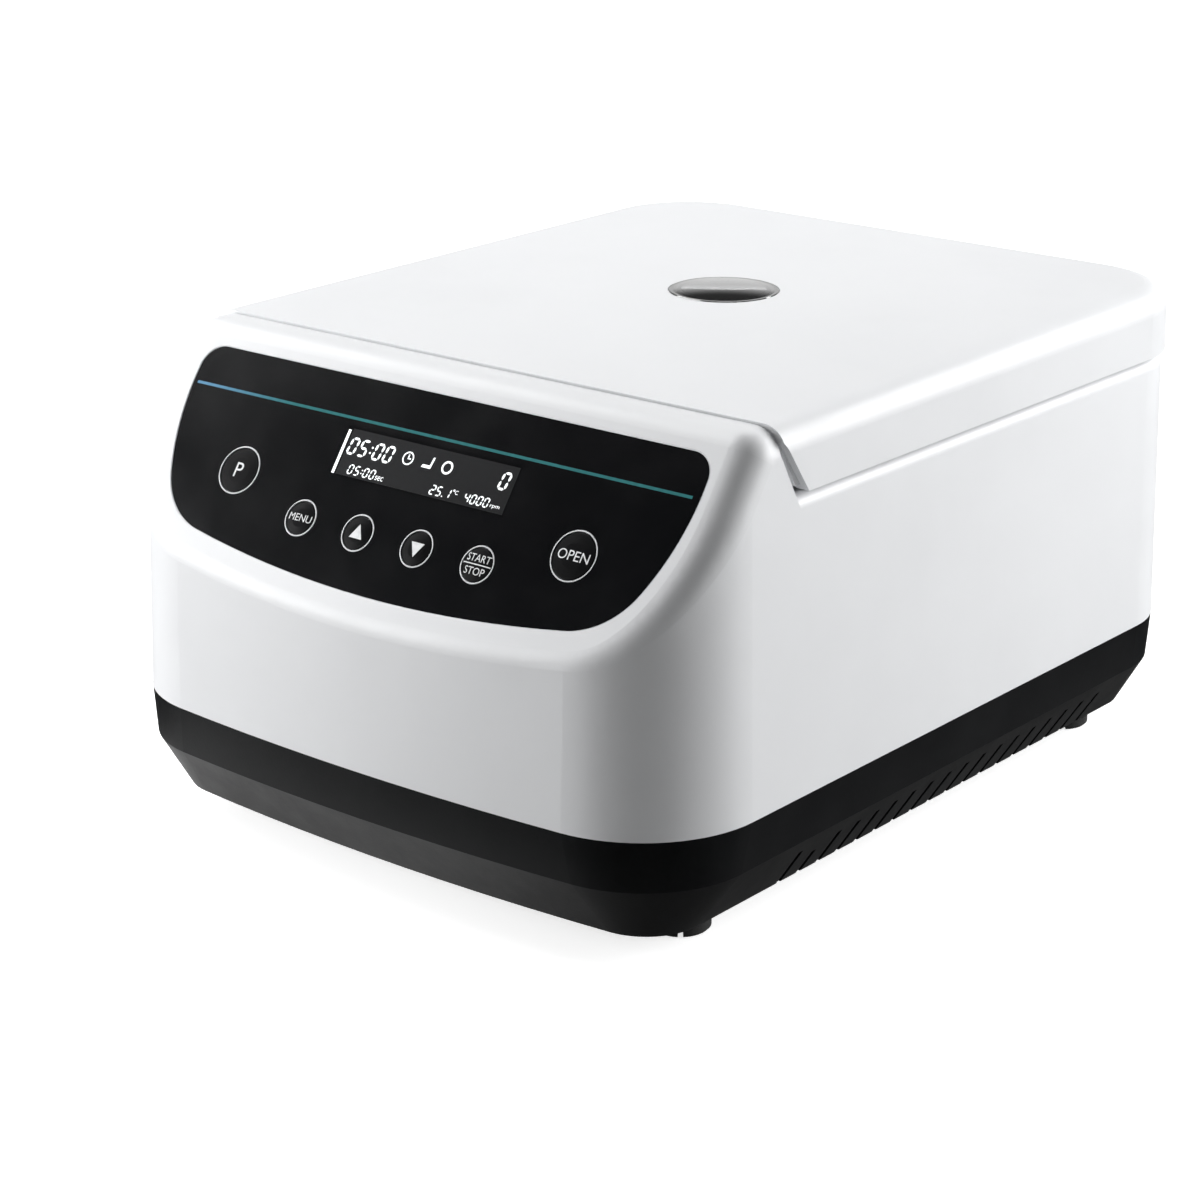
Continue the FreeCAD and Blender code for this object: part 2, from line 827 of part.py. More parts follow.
def display_module():
    """Glass cell and frame of the display, clipped behind the window."""
    margin = size.module_margin
    high = -(size.window_top - margin)
    low = -(size.window_top + size.window_height + margin)
    frame = block("DisplayModule", (-(size.window_left + margin), low, -size.board_depth),
                  (size.window_right + margin, high, -(size.panel_skin + size.clearance)), 1.0)
    return on_panel_frame(node(frame, "display_module"))


def key_ring(key, x, down, radius):
    body = turned(f"Ring_{key}", [
        (radius - size.ring_width, recess_back), (radius, recess_back),
        (radius, size.ring_proud - size.fascia_sink - 0.15),
        (radius - 0.15, size.ring_proud - size.fascia_sink),
        (radius - size.ring_width, size.ring_proud - size.fascia_sink),
    ], x, -as_size(down))
    return body


def key_rings():
    rings = [key_ring(key, *spec) for key, spec in KEYS.items()]
    return on_panel_frame(node(gather("KeyRings", rings), "key_rings"))


def key_cap(key, x, down, radius):
    """Domed cap, a collar that stops it behind the panel, and the stem to its switch."""
    cap = radius - size.ring_width - size.key_gap
    collar_top = -(size.panel_skin + size.running_gap)
    body = turned(f"Cap_{key}", [
        (0, -size.key_stem_end), (size.key_stem_radius, -size.key_stem_end),
        (size.key_stem_radius, collar_top - 1), (cap + size.key_collar, collar_top - 1),
        (cap + size.key_collar, collar_top), (cap, collar_top),
        (cap, -size.fascia_sink - 0.2), (cap - 0.4, -size.fascia_sink),
        (cap * 0.55, size.key_dome * 0.75 - size.fascia_sink), (0, size.key_dome - size.fascia_sink),
    ])
    place(body, x, -(size.panel_top_front + down * tilt_cosine),
          size.panel_top_height - down * tilt_sine, panel_turn)
    return node(body, key)


def control_board():
    reach = size.board_half_width
    plate = block("ControlBoard", (-reach, -(size.board_top + size.board_height),
                                   -(size.board_depth + size.board_thickness)),
                  (reach, -size.board_top, -size.board_depth), 2.0)
    return on_panel_frame(node(plate, "control_board"))


def key_switches():
    """One tactile switch on the board behind each key: body and round plunger."""
    switches = []
    for key, (x, down, radius) in KEYS.items():
        half = size.switch_half
        tip = -(size.key_stem_end + size.key_travel + size.switch_plunger_gap)
        base = box(f"SwitchBody_{key}", (x - half, -down - half, -size.board_depth),
                   (x + half, -down + half, tip - 0.8))
        plunger = rod(f"SwitchPlunger_{key}", size.switch_plunger_radius, 1.0, x, -down, tip - 1)
        switches.append(fuse(f"Switch_{key}", [base, plunger]))
    return on_panel_frame(node(gather("KeySwitches", switches), "key_switches"))


# ---------------------------------------------------------------- cabinet shells

def screw(name, x, y, z, direction):
    """Pan-head screw; z is where the underside of its head bears."""
    body = turned(name, [
        (0, -size.screw_head_height * 0.45), (1.2, -size.screw_head_height * 0.45),
        (1.2, -size.screw_head_height), (size.screw_head - 0.7, -size.screw_head_height),
        (size.screw_head, -size.screw_head_height * 0.5), (size.screw_head, 0),
        (size.screw_shank, 0), (size.screw_shank, size.screw_length - 1),
        (size.screw_shank - 0.8, size.screw_length), (0, size.screw_length),
    ], x, y, z, Rotation(Vector(0, 0, 1), direction))
    return body


UP = Vector(0, 0, 1)
DOWN = Vector(0, 0, -1)
FOOT_PLACES = [(side * size.foot_x, y) for side in (-1, 1) for y in (-size.foot_front, size.foot_rear)]
PILLAR_PLACES = [(side * size.pillar_x, y) for side in (-1, 1) for y in (-size.pillar_front, size.pillar_rear)]
BOWL_SCREW_TURNS = (40, 140, 205, 335)
HINGE_SIDES = (-1, 1)
PANEL_POSTS = [(side * (size.board_half_width - 4), down) for side in (-1, 1) for down in
               (size.board_top + 5, size.board_top + size.board_height - 5)]
# The fixed leaf lies inside the rear wall and bridges back to its knuckles over the wall.
fixed_leaf_rear = size.hinge_rear - 3.2
fixed_leaf_front = fixed_leaf_rear - size.leaf_thickness
bridge_low = size.hinge_height - size.knuckle_radius
leaf_low = size.hinge_height - size.leaf_reach
axis_y = size.axis_rear
bowl_top = size.deck_height
foot_ledge = size.tray_bottom / 2
pillar_ledge = size.seam_height + size.lip_height - 4


def bowl_screw_place(turn):
    """Where a screw goes through the bowl's flange."""
    angle = math.radians(turn)
    reach = size.bowl_screw_reach
    return (reach * math.cos(angle), size.axis_rear + reach * math.sin(angle))


def rear_opening(name, x, half_width, half_height):
    """Opening through the rear panel, a clearance wider all round than what sits in it."""
    across = half_width + size.clearance
    up = half_height + size.clearance
    return box(name, (x - across, size.rear_panel_face - 10, size.inlet_height - up),
               (x + across, size.half_depth, size.inlet_height + up))


def upper_housing():
    boss_low = size.seam_height + size.lip_height + size.clearance
    bosses = []
    for i, (x, y) in enumerate(PILLAR_PLACES):
        side = 1 if float(x) > 0 else -1
        wall_in = side * (size.half_width - size.wall / 2 - 2)
        low, high = (x - side * size.pillar_radius, wall_in)
        if side < 0:
            low, high = high, low
        bosses.append(box(f"HousingBoss{i}", (low, y - size.pillar_radius, boss_low),
                          (high, y + size.pillar_radius, boss_low + size.pillar_boss_height)))
    for turn in BOWL_SCREW_TURNS:
        x, y = bowl_screw_place(turn)
        bosses.append(rod(f"DeckBoss{turn}", size.deck_boss_radius, size.screw_length + 2, x, y,
                          bowl_top - size.bowl_sheet - size.screw_length - 2))
    for side in HINGE_SIDES:
        bosses.append(box(f"HingePad{side}",
                          (side * size.hinge_x - size.hinge_half_length, fixed_leaf_rear, leaf_low),
                          (side * size.hinge_x + size.hinge_half_length, fixed_leaf_rear + 2,
                           bridge_low - 3)))
    posts = []
    for i, (x, down) in enumerate(PANEL_POSTS):
        posts.append(rod(f"PanelPost{i}", size.board_post_radius, size.board_depth - size.panel_skin + 1,
                         x, -down, -size.board_depth))
    bosses.append(on_panel_frame(fuse("PanelPosts", posts)))
    backing = box("RearBacking", (size.rear_panel_left - size.wall, size.rear_panel_face - size.wall,
                                  size.rear_panel_low - size.wall),
                  (size.rear_panel_right + size.wall, size.half_depth - size.wall,
                   size.rear_panel_high + size.wall))
    solid = fuse("HousingSolid", [housing_shell, backing] + bosses)
    tools = [
        rod("BowlOpening", size.bowl_radius + size.bowl_sheet + 0.5, 20, 0, size.axis_rear,
            size.deck_height - 10),
        rod("FlangeSeat", size.bowl_flange + size.clearance, 10, 0, size.axis_rear,
            size.deck_height - size.bowl_sheet),
        box("LatchSlot", (-size.latch_slot_half, -(size.striker_front + 3.5), size.deck_height - 10),
            (size.latch_slot_half, -(size.striker_front - size.striker_sheet - 3.5), size.deck_height + 10)),
        box("RearPocket", (size.rear_panel_left, size.rear_panel_face, size.rear_panel_low),
            (size.rear_panel_right, size.half_depth + 10, size.rear_panel_high)),
        rear_opening("InletOpening", size.inlet_x, size.inlet_body_half_width, size.inlet_body_half_height),
        rear_opening("RockerOpening", size.rocker_x, size.switch_body_half_width,
                     size.switch_body_half_height),
    ]
    for i, (x, y) in enumerate(PILLAR_PLACES):
        tools.append(rod(f"HousingPilot{i}", size.screw_hole, 16, x, y, boss_low - 2))
    for turn in BOWL_SCREW_TURNS:
        x, y = bowl_screw_place(turn)
        tools.append(rod(f"DeckPilot{turn}", size.screw_hole, size.screw_length + 10, x, y,
                         bowl_top - size.screw_length - 1))
    for side in HINGE_SIDES:
        left = side * size.hinge_x - size.hinge_half_length - 0.5
        right = side * size.hinge_x + size.hinge_half_length + 0.5
        tools.append(rod(f"KnuckleRelief{side}", size.knuckle_radius + size.hinge_relief, right - left, left,
                         size.hinge_rear, size.hinge_height, Vector(1, 0, 0)))
        tools.append(box(f"BridgeSlot{side}", (left, fixed_leaf_front - 0.3, bridge_low - 0.3),
                         (right, size.half_depth, size.deck_height + 5)))
        tools.append(box(f"LeafSlot{side}", (left, fixed_leaf_front - 0.3, bridge_low - 5),
                         (right, fixed_leaf_rear + 0.3, size.deck_height)))
    recess = on_panel_frame(fascia_plate("FasciaRecess", mm.fascia_gap, as_size(8), recess_back))
    holes = on_panel_frame(panel_tools("PanelHoles", -size.ring_width, as_size(0),
                                       -(size.panel_skin + 4), as_size(0.5)))
    shell = subtract("Housing", solid, fuse("HousingTools", tools + [recess, holes]))
    return node(shell, "upper_housing")


def tray_section(body, level, inset, front_corner, rear_corner):
    sketch = new_sketch(body, "XY_Plane", level)
    draw_curves(sketch, plan_outline(float(inset), float(front_corner), float(rear_corner)))
    return sketch


def tray_form(name, skin, top):
    """The tray's faceted bowl shape, drawn in by a skin: upright band, then a sloping one."""
    body = new_body(name)
    crease_inset = size.crease_inset + skin
    loft(body, [
        tray_section(body, size.tray_bottom + skin, size.tray_inset + skin,
                     size.tray_front_corner - skin, size.tray_rear_corner - skin),
        tray_section(body, size.crease_height + skin * 0.4, crease_inset,
                     size.front_corner - crease_inset - 3, size.rear_corner - crease_inset - 3),
        tray_section(body, top, skin, size.front_corner - skin, size.rear_corner - skin),
    ])
    return body


def outline_ring(name, outer_inset, inner_inset, low, high):
    """A low wall that follows the cabinet's plan outline."""
    body = new_body(name)
    sketch = new_sketch(body, "XY_Plane", low)
    for inset in (float(outer_inset), float(inner_inset)):
        curves = plan_outline(inset, mm.front_corner - inset, mm.rear_corner - inset)
        for curve in curves:
            sketch.addGeometry(curve, False)
    for i in range(sketch.GeometryCount):
        sketch.addConstraint(Sketcher.Constraint("Block", i))
    pad(body, sketch, high - low)
    return body


def cut_vents(body, side):
    """A row of narrow slots down one sloping side; the second clears the foot's boss."""
    sketch = new_sketch(body, "YZ_Plane", side * (size.half_width - size.tray_inset - 0.9), "Vents")
    for i in range(int(mm.vent_count)):
        centre = size.vent_first + size.vent_pitch * i
        top = size.vent_short_top if i == 1 else size.vent_top
        draw_polygon(sketch, [
            (centre - size.vent_width / 2, size.tray_bottom - 2),
            (centre + size.vent_width / 2, size.tray_bottom - 2),
            (centre + size.vent_width / 2, top), (centre - size.vent_width / 2, top),
        ])
    cut(body, sketch, as_size(40), "VentSlots", up=side > 0)


def base_tray():
    outside = tray_form("TrayOutside", as_size(0), size.seam_height)
    cut_vents(outside, 1)
    cut_vents(outside, -1)
    inside = tray_form("TrayInside", size.wall, size.seam_height + 1)
    lip_out = size.wall + size.lip_gap
    lip_in = lip_out + size.lip_wall
    root = outline_ring("LipRoot", size.wall - 0.8, lip_in, size.seam_height - 6,
                        size.seam_height - 0.4)
    lip = outline_ring("Lip", lip_out, lip_in, size.seam_height - 1, size.seam_height + size.lip_height)
    floor = size.tray_bottom + size.wall
    adds = [subtract("TrayShell", outside, inside), root, lip]
    tools = []
    for i, (x, y) in enumerate(FOOT_PLACES):
        adds.append(rod(f"FootBoss{i}", size.foot_boss_radius, size.foot_boss_height + 1, x, y, floor - 1))
        tools.append(rod(f"FootPilot{i}", size.screw_hole, 12, x, y, size.tray_bottom - 1))
    for i, (x, y) in enumerate(PILLAR_PLACES):
        adds.append(rod(f"Pillar{i}", size.pillar_radius, pillar_ledge + 4 - (floor - 1), x, y, floor - 1))
        tools.append(rod(f"PillarBore{i}", size.screw_head + size.head_gap,
                         pillar_ledge - size.tray_bottom + 1, x, y, size.tray_bottom - 1))
        tools.append(rod(f"PillarHole{i}", size.screw_hole, 20, x, y, pillar_ledge - 2))
    for i, (x, y) in enumerate(DAMPER_PLACES):
        adds.append(rod(f"DamperPost{i}", size.damper_radius - 2, damper_bottom - floor + 1, x, y, floor - 1))
    for i, (x, y) in enumerate(BOARD_POSTS):
        adds.append(rod(f"BoardPost{i}", size.drive_post_radius, size.drive_board_height - floor + 1,
                        x, y, floor - 1))
    solid = fuse("TraySolid", adds)
    return node(subtract("Tray", solid, fuse("TrayTools", tools)), "base_tray")


damper_bottom = size.motor_top - size.damper_height
DAMPER_PLACES = [(sx * size.damper_spread, size.axis_rear + sy * size.damper_spread)
                 for sx in (-1, 1) for sy in (-1, 1)]
BOARD_POSTS = [(sx * (size.drive_board_half - 6), -y) for sx in (-1, 1)
               for y in (size.drive_board_front - 6, size.drive_board_rear + 6)]


def rubber_foot(i, x, y):
    """Round foot with a screw well and a drain slot across it."""
    body = turned(f"Foot{i}", [
        (size.screw_hole, foot_ledge), (size.screw_head + size.head_gap, foot_ledge),
        (size.screw_head + size.head_gap, 0),
        (size.foot_radius - 1, 0), (size.foot_radius, 1.0),
        (size.foot_radius, size.tray_bottom), (size.screw_hole, size.tray_bottom),
    ])
    slot = new_sketch(body, "YZ_Plane", name="Slot")
    half = size.foot_slot / 2
    draw_polygon(slot, [(-half, -1), (half, -1), (half * 0.55, size.tray_bottom - 2.5),
                        (-half * 0.55, size.tray_bottom - 2.5)])
    cut(body, slot, size.foot_radius * 3, "Slot", both=True)
    place(body, x, y, 0, Rotation(UP, 90 + mm.foot_slot_turn))
    return body


def rubber_feet():
    return node(gather("Feet", [rubber_foot(i, x, y) for i, (x, y) in enumerate(FOOT_PLACES)]), "rubber_feet")


def case_screws():
    """The identical screws of the feet, the cabinet and the bowl's flange."""
    screws = []
    for i, (x, y) in enumerate(FOOT_PLACES):
        screws.append(screw(f"FootScrew{i}", x, y, foot_ledge - 0.1, UP))
    for i, (x, y) in enumerate(PILLAR_PLACES):
        screws.append(screw(f"CaseScrew{i}", x, y, pillar_ledge - 0.1, UP))
    for turn in BOWL_SCREW_TURNS:
        x, y = bowl_screw_place(turn)
        screws.append(screw(f"BowlScrew{turn}", x, y, bowl_top, DOWN))
    return node(gather("CaseScrews", screws), "case_screws")


# ---------------------------------------------------------------- chamber and drive

def chamber_bowl():
    """Deep-drawn bowl with a flange let into the deck and a hole for the motor's nose."""
    t = size.bowl_sheet
    body = turned("Bowl", [
        (size.bowl_hole, size.bowl_floor - t), (size.bowl_floor_radius + t, size.bowl_floor - t),
        (size.bowl_radius + t, bowl_top - t), (size.bowl_flange, bowl_top - t),
        (size.bowl_flange, bowl_top), (size.bowl_radius, bowl_top),
        (size.bowl_floor_radius, size.bowl_floor), (size.bowl_hole, size.bowl_floor),
    ], 0, axis_y)

    def floor_corner(radius, level):
        return lambda edge: (abs(edge.BoundBox.ZMin - float(level)) < 1e-3
                             and abs(edge.BoundBox.XMax - float(radius)) < 0.2)

    round_edges(body, size.bowl_corner, floor_corner(size.bowl_floor_radius, size.bowl_floor), "InnerCorner")
    round_edges(body, size.bowl_corner + t,
                floor_corner(size.bowl_floor_radius + t, size.bowl_floor - t), "OuterCorner")
    holes = []
    for turn in BOWL_SCREW_TURNS:
        x, y = bowl_screw_place(turn)
        holes.append(rod(f"FlangeHole{turn}", size.screw_hole, 10, x, y, size.deck_height - 5))
    return node(subtract("ChamberBowl", body, fuse("FlangeHoles", holes)), "chamber_bowl")


def chamber_gasket():
    """Rubber ring on the bowl's rim, inside its screws; the lid's liner closes on it."""
    inner = size.gasket_inner
    outer = size.gasket_outer
    body = turned("Gasket", [
        (inner, bowl_top), (outer, bowl_top), (outer, bowl_top + size.gasket_height * 0.5),
        (outer - 1.2, bowl_top + size.gasket_height), (inner + 0.8, bowl_top + size.gasket_height),
        (inner, bowl_top + size.gasket_height * 0.6),
    ], 0, axis_y)
    return node(body, "chamber_gasket")


def motor():
    """Motor can with a cooling groove, a bearing nose and a blind bore for its shaft."""
    bore = size.shaft_radius + size.running_gap
    body = turned("Motor", [
        (0, size.motor_bottom), (size.motor_radius - 4, size.motor_bottom),
        (size.motor_radius, size.motor_bottom + 4), (size.motor_radius, size.motor_top - 16),
        (size.motor_radius - 2, size.motor_top - 15), (size.motor_radius - 2, size.motor_top - 9),
        (size.motor_radius, size.motor_top - 8), (size.motor_radius, size.motor_top),
        (size.motor_nose, size.motor_top), (size.motor_nose, size.motor_nose_top - 2),
        (size.motor_nose - 2, size.motor_nose_top), (bore, size.motor_nose_top),
        (bore, size.shaft_bottom - 1), (0, size.shaft_bottom - 1),
    ], 0, axis_y)
    return node(body, "motor")


def motor_plate():
    half = size.mount_plate_half
    low = size.motor_top
    high = size.motor_top + size.mount_plate_thickness
    body = block("MotorPlate", (-half, -half, low), (half, half, high), size.mount_plate_corner,
                 (0, axis_y, 0))
    tools = [rod("PilotHole", size.motor_nose + 0.1, 20, 0, axis_y, low - 5)]
    for i, (x, y) in enumerate(DAMPER_PLACES):
        tools.append(rod(f"StudHole{i}", size.damper_stud_radius + 0.2, 20, x, y, low - 5))
    for i, turn in enumerate((0, 90, 180, 270)):
        angle = math.radians(turn)
        tools.append(rod(f"PlateWindow{i}", size.plate_window_radius, 20, size.damper_spread * math.cos(angle),
                         axis_y + size.damper_spread * math.sin(angle), low - 5))
    return node(subtract("MountPlate", body, fuse("PlateTools", tools)), "motor_plate")


def vibration_dampers():
    """Waisted rubber mounts between the tray's posts and the motor plate, with their studs."""
    dampers = []
    for i, (x, y) in enumerate(DAMPER_PLACES):
        radius = size.damper_radius
        dampers.append(turned(f"Damper{i}", [
            (0, damper_bottom), (radius, damper_bottom), (radius, damper_bottom + 4),
            (radius - size.damper_waist, damper_bottom + size.damper_height / 2),
            (radius, size.motor_top - 4), (radius, size.motor_top),
            (size.damper_stud_radius, size.motor_top),
            (size.damper_stud_radius, size.motor_top + size.mount_plate_thickness + 3),
            (0, size.motor_top + size.mount_plate_thickness + 3),
        ], x, y))
    return node(gather("Dampers", dampers), "vibration_dampers")


def shaft_boot():
    """Rubber collar that closes the bowl's hole round the motor's nose."""
    inner = size.motor_nose + size.clearance
    floor = size.bowl_floor + 0.1
    body = turned("Boot", [
        (inner, floor), (size.bowl_hole + 5, floor), (size.bowl_hole + 4, floor + 1.6),
        (inner + 3, floor + 2.2), (inner + 1.6, size.motor_nose_top - 1), (inner, size.motor_nose_top - 1),
    ], 0, axis_y)
    return node(body, "shaft_boot")


def motor_shaft():
    """Motor shaft: journal, shoulder under the rotor, and a threaded end for the nut."""
    r = size.shaft_radius
    body = turned("Shaft", [
        (0, size.shaft_bottom), (r, size.shaft_bottom), (r, size.shaft_step),
        (r + 3.5, size.shaft_step + 2), (r + 3.5, size.hub_bottom), (r, size.hub_bottom),
        (r, size.thread_start), (size.thread_radius, size.thread_start + 1.5),
        (size.thread_radius, size.shaft_top - 1), (size.thread_radius - 1, size.shaft_top),
        (0, size.shaft_top),
    ], 0, axis_y)
    return node(body, "motor_shaft")


# ---------------------------------------------------------------- rotor

def rotor_head():
    """Windshielded cross: a hub and four diagonal arms, each ending in a two-pronged fork."""
    bore = size.shaft_radius + size.running_gap
    body = turned("RotorHead", [
        (bore, size.hub_bottom), (size.hub_radius - 2, size.hub_bottom),
        (size.hub_radius, size.hub_bottom + 2), (size.hub_radius, size.hub_top - 3),
        (size.hub_radius - 3, size.hub_top), (bore, size.hub_top),
    ])
    root = mm.hub_radius - 4
    tip = mm.prong_face * math.sqrt(2) + 4
    half = mm.arm_half_width
    corner = [((r + s * half) / math.sqrt(2), (r - s * half) / math.sqrt(2))
              for r, s in ((root, 1), (tip, 1), (tip, -1), (root, -1))]
    bar = new_sketch(body, "XY_Plane", size.arm_bottom + 2, "ArmBar")
    draw_polygon(bar, corner)
    arm = pad(body, bar, size.hub_top - 3 - (size.arm_bottom + 2), "Arm")
    near = size.prong_face
    far = size.prong_face + size.prong_thickness
    end = size.prong_reach
    fork_sketch = new_sketch(body, "XY_Plane", size.arm_bottom, "ForkPlan")
    draw_polygon(fork_sketch, [(near, near), (end, near), (end, far), (far, far), (far, end), (near, end)])
    fork = pad(body, fork_sketch, size.arm_top - size.arm_bottom, "Fork")
    pattern = body.newObject("PartDesign::PolarPattern", "Arms")
    pattern.Originals = [arm, fork]
    axis = [line_ for line_ in body.Origin.OriginFeatures if line_.Role == "Z_Axis"]
    pattern.Axis = (axis[0], [""])
    pattern.Angle = 360
    pattern.Occurrences = 4
    body.Tip = pattern

    def prong_end(edge):
        at = middle(edge)
        reach = max(abs(at.x), abs(at.y))
        level = abs(at.z - mm.arm_bottom) < 1e-3 or abs(at.z - mm.arm_top) < 1e-3
        return level and abs(reach - mm.prong_reach) < 1e-3

    round_edges(body, 5.0, prong_end, "ProngEnds")
    for plane in ("XZ_Plane", "YZ_Plane"):
        holes = new_sketch(body, plane, name="PinHoles")
        for side in (-1, 1):
            draw_circle(holes, side * size.pivot_radius, size.pivot_height, size.pin_radius + 0.02)
        cut(body, holes, size.prong_reach * 2, "PinHoles", both=True)
    place(body, 0, axis_y, 0)
    return node(body, "rotor_head")


def rotor_nut():
    """Hand nut with a fluted rim that clamps the rotor head on the shaft."""
    low = size.hub_top + 0.1
    high = low + size.nut_height
    bore = size.thread_radius + size.running_gap
    rim = size.nut_radius
    body = turned("Nut", [
        (bore, low), (rim - 1.5, low), (rim, low + 2), (rim, high - 3.5), (rim - 1.5, high - 1.5),
        (rim - 5.5, high), (bore, high),
    ])
    sketch = new_sketch(body, "XY_Plane", high + 1.5, "Flute")
    draw_circle(sketch, rim + size.flute_radius * 0.6, 0, size.flute_radius)
    groove = cut(body, sketch, as_size(20), "FluteCut")
    pattern = body.newObject("PartDesign::PolarPattern", "Flutes")
    pattern.Originals = [groove]
    axis = [line_ for line_ in body.Origin.OriginFeatures if line_.Role == "Z_Axis"]
    pattern.Axis = (axis[0], [""])
    pattern.Angle = 360
    pattern.Occurrences = int(mm.nut_flutes)
    body.Tip = pattern
    place(body, 0, axis_y, 0)
    return node(body, "rotor_nut")


CARRIER_TURNS = (0, 90, 180, 270)


def trunnion_pins():
    pins = []
    length = size.prong_face + size.prong_thickness - size.pin_inner
    for turn in CARRIER_TURNS:
        rotation = Rotation(UP, turn)
        for side in (-1, 1):
            start = size.pin_inner if side > 0 else -(size.pin_inner + length)
            at = rotation.multVec(Vector(mm.pivot_radius, float(start), 0))
            pins.append(rod(f"Pin{turn}_{side}", size.pin_radius, length, at.x, at.y + axis_y,
                            size.pivot_height, rotation.multVec(Vector(0, 1, 0))))
    return node(gather("TrunnionPins", pins), "trunnion_pins")


def hang(item, turn):
    """Hang an item, drawn about the pivot with X outward, at one of the rotor's places."""
    angle = math.radians(turn)
    x = round(math.cos(angle), 9) * size.pivot_radius
    y = round(math.sin(angle), 9) * size.pivot_radius + axis_y
    return place(item, x, y, size.pivot_height, Rotation(UP, turn))


tray_floor = -size.swing_length + size.carrier_sheet


def ear_outline():
    """Ear of a carrier: a round eye with sides that spread to the tray's walls."""
    eye = mm.ear_eye_radius
    half = mm.carrier_half_width
    low = float(tray_floor) + mm.slide_thickness + mm.card_thickness + 1.0
    wall_top = mm.carrier_wall_height - mm.swing_length
    reach = math.hypot(half, wall_top)
    turn = math.atan2(wall_top, half) + math.acos(eye / reach)
    x = eye * math.cos(turn)
    z = eye * math.sin(turn)
    return [
        line(-half, low, half, low), line(half, low, half, wall_top), line(half, wall_top, x, z),
        arc(0, 0, eye, turn, math.pi - turn), line(-x, z, -half, wall_top),
        line(-half, wall_top, -half, low),
    ]


def slide_carrier(number, turn):
    """Channel for one slide with two ears that ride on the rotor's pins."""
    body = new_body(f"Carrier{number}")
    half = size.carrier_half_width
    t = size.carrier_sheet
    low = -size.swing_length
    wall_top = low + size.carrier_wall_height
    section = new_sketch(body, "XZ_Plane", name="Channel")
    draw_polygon(section, [(-half, low), (half, low), (half, wall_top), (half - t, wall_top),
                           (half - t, low + t), (t - half, low + t), (t - half, wall_top), (-half, wall_top)])
    channel = pad(body, section, size.carrier_half_length * 2, "Channel")
    channel.SideType = "Symmetric"
    for side in (-1, 1):
        ear = new_sketch(body, "XZ_Plane", -side * size.ear_inner, "Ear")
        draw_curves(ear, ear_outline())
        pad(body, ear, size.ear_thickness, "Ear", down=side > 0)
    eyes = new_sketch(body, "XZ_Plane", name="Eyes")
    draw_circle(eyes, 0, 0, size.pin_radius + size.running_gap)
    cut(body, eyes, size.carrier_half_length * 2, "Eyes", both=True)
    return node(hang(body, turn), f"slide_carrier_{number}")


def glass_slide(number, turn):
    low = tray_floor
    body = block(f"Slide{number}", (-size.slide_half_width, -size.slide_half_length, low),
                 (size.slide_half_width, size.slide_half_length, low + size.slide_thickness))
    return node(hang(body, turn), f"glass_slide_{number}")


def filter_card(number, turn):
    low = tray_floor + size.slide_thickness
    body = block(f"Card{number}", (-size.slide_half_width, -size.chamber_half_length, low),
                 (size.slide_half_width, size.chamber_half_length, low + size.card_thickness))
    hole = new_sketch(body, "XY_Plane", low + 5, "Hole")
    draw_circle(hole, 0, 0, size.card_hole)
    cut(body, hole, as_size(10), "Hole")
    return node(hang(body, turn), f"filter_card_{number}")


def sample_chamber(number, turn):
    """Funnel on a flat flange: it feeds the cells through the card on to the slide."""
    low = tray_floor + size.slide_thickness + size.card_thickness
    flange = low + size.chamber_flange
    top = low + size.funnel_height
    r = size.funnel_radius
    body = block(f"Chamber{number}", (-size.chamber_half_width, -size.chamber_half_length, low),
                 (size.chamber_half_width, size.chamber_half_length, flange), 2.0)
    funnel = new_sketch(body, "XZ_Plane", name="Funnel")
    draw_polygon(funnel, [(0, low + 1), (r, low + 1), (r, top - 2), (r + 1, top - 2), (r + 1, top), (0, top)])
    tube = body.newObject("PartDesign::Revolution", "Tube")
    tube.Profile = funnel
    tube.ReferenceAxis = (funnel, ["V_Axis"])
    tube.Angle = 360
    bore = new_sketch(body, "XZ_Plane", name="Bore")
    draw_polygon(bore, [(0, low - 1), (size.funnel_throat, low - 1), (size.funnel_throat, low + 3),
                        (size.funnel_bore, top - 14), (size.funnel_bore + 0.6, top + 1), (0, top + 1)])
    groove = body.newObject("PartDesign::Groove", "Bore")
    groove.Profile = bore
    groove.ReferenceAxis = (bore, ["V_Axis"])
    groove.Angle = 360
    return node(hang(body, turn), f"sample_chamber_{number}")


# ---------------------------------------------------------------- lid

def lid_top(y):
    """Height of the lid's outside at a distance behind the origin."""
    front = size.lid_seam - size.brow_rear
    run = (as_size(y) - front) / (size.half_depth - front)
    return size.lid_front_height + (size.lid_rear_height - size.lid_front_height) * run


def lid_block(name, side_inset, bottom, foot, drop, front_shift, radius):
    """Solid form of the lid: drafted sides, a slanting front face and a rounded crown."""
    body = new_body(name)
    inset = float(side_inset) - mm.lid_proud
    loft(body, [wall_section(body, bottom, inset), wall_section(body, size.lid_rear_height + 4, inset)])
    front = front_shift - (size.brow_rear - size.lid_seam)
    rear = size.half_depth
    low = size.lid_bottom - 10
    high = size.lid_rear_height + 20
    slope = (front + foot) / (size.lid_slant_top - size.lid_bottom)
    sketch = new_sketch(body, "YZ_Plane", name="Side")
    draw_polygon(sketch, [
        (slope * (low - size.lid_bottom) - foot, low), (front, size.lid_slant_top),
        (front, lid_top(front) - drop), (rear, lid_top(rear) - drop),
        (rear + 30, lid_top(rear) - drop), (rear + 30, high), (-(rear + 30), high), (-(rear + 30), low),
    ])
    cut(body, sketch, size.half_width * 4, both=True)

    def crown(edge):
        at = middle(edge)
        on_roof = abs(at.z - float(lid_top(at.y) - drop)) < 0.05
        return on_roof and (abs(at.x) > mm.half_width * 0.6 or at.y > mm.half_depth * 0.8)

    round_edges(body, radius, crown, "Crown")
    return body


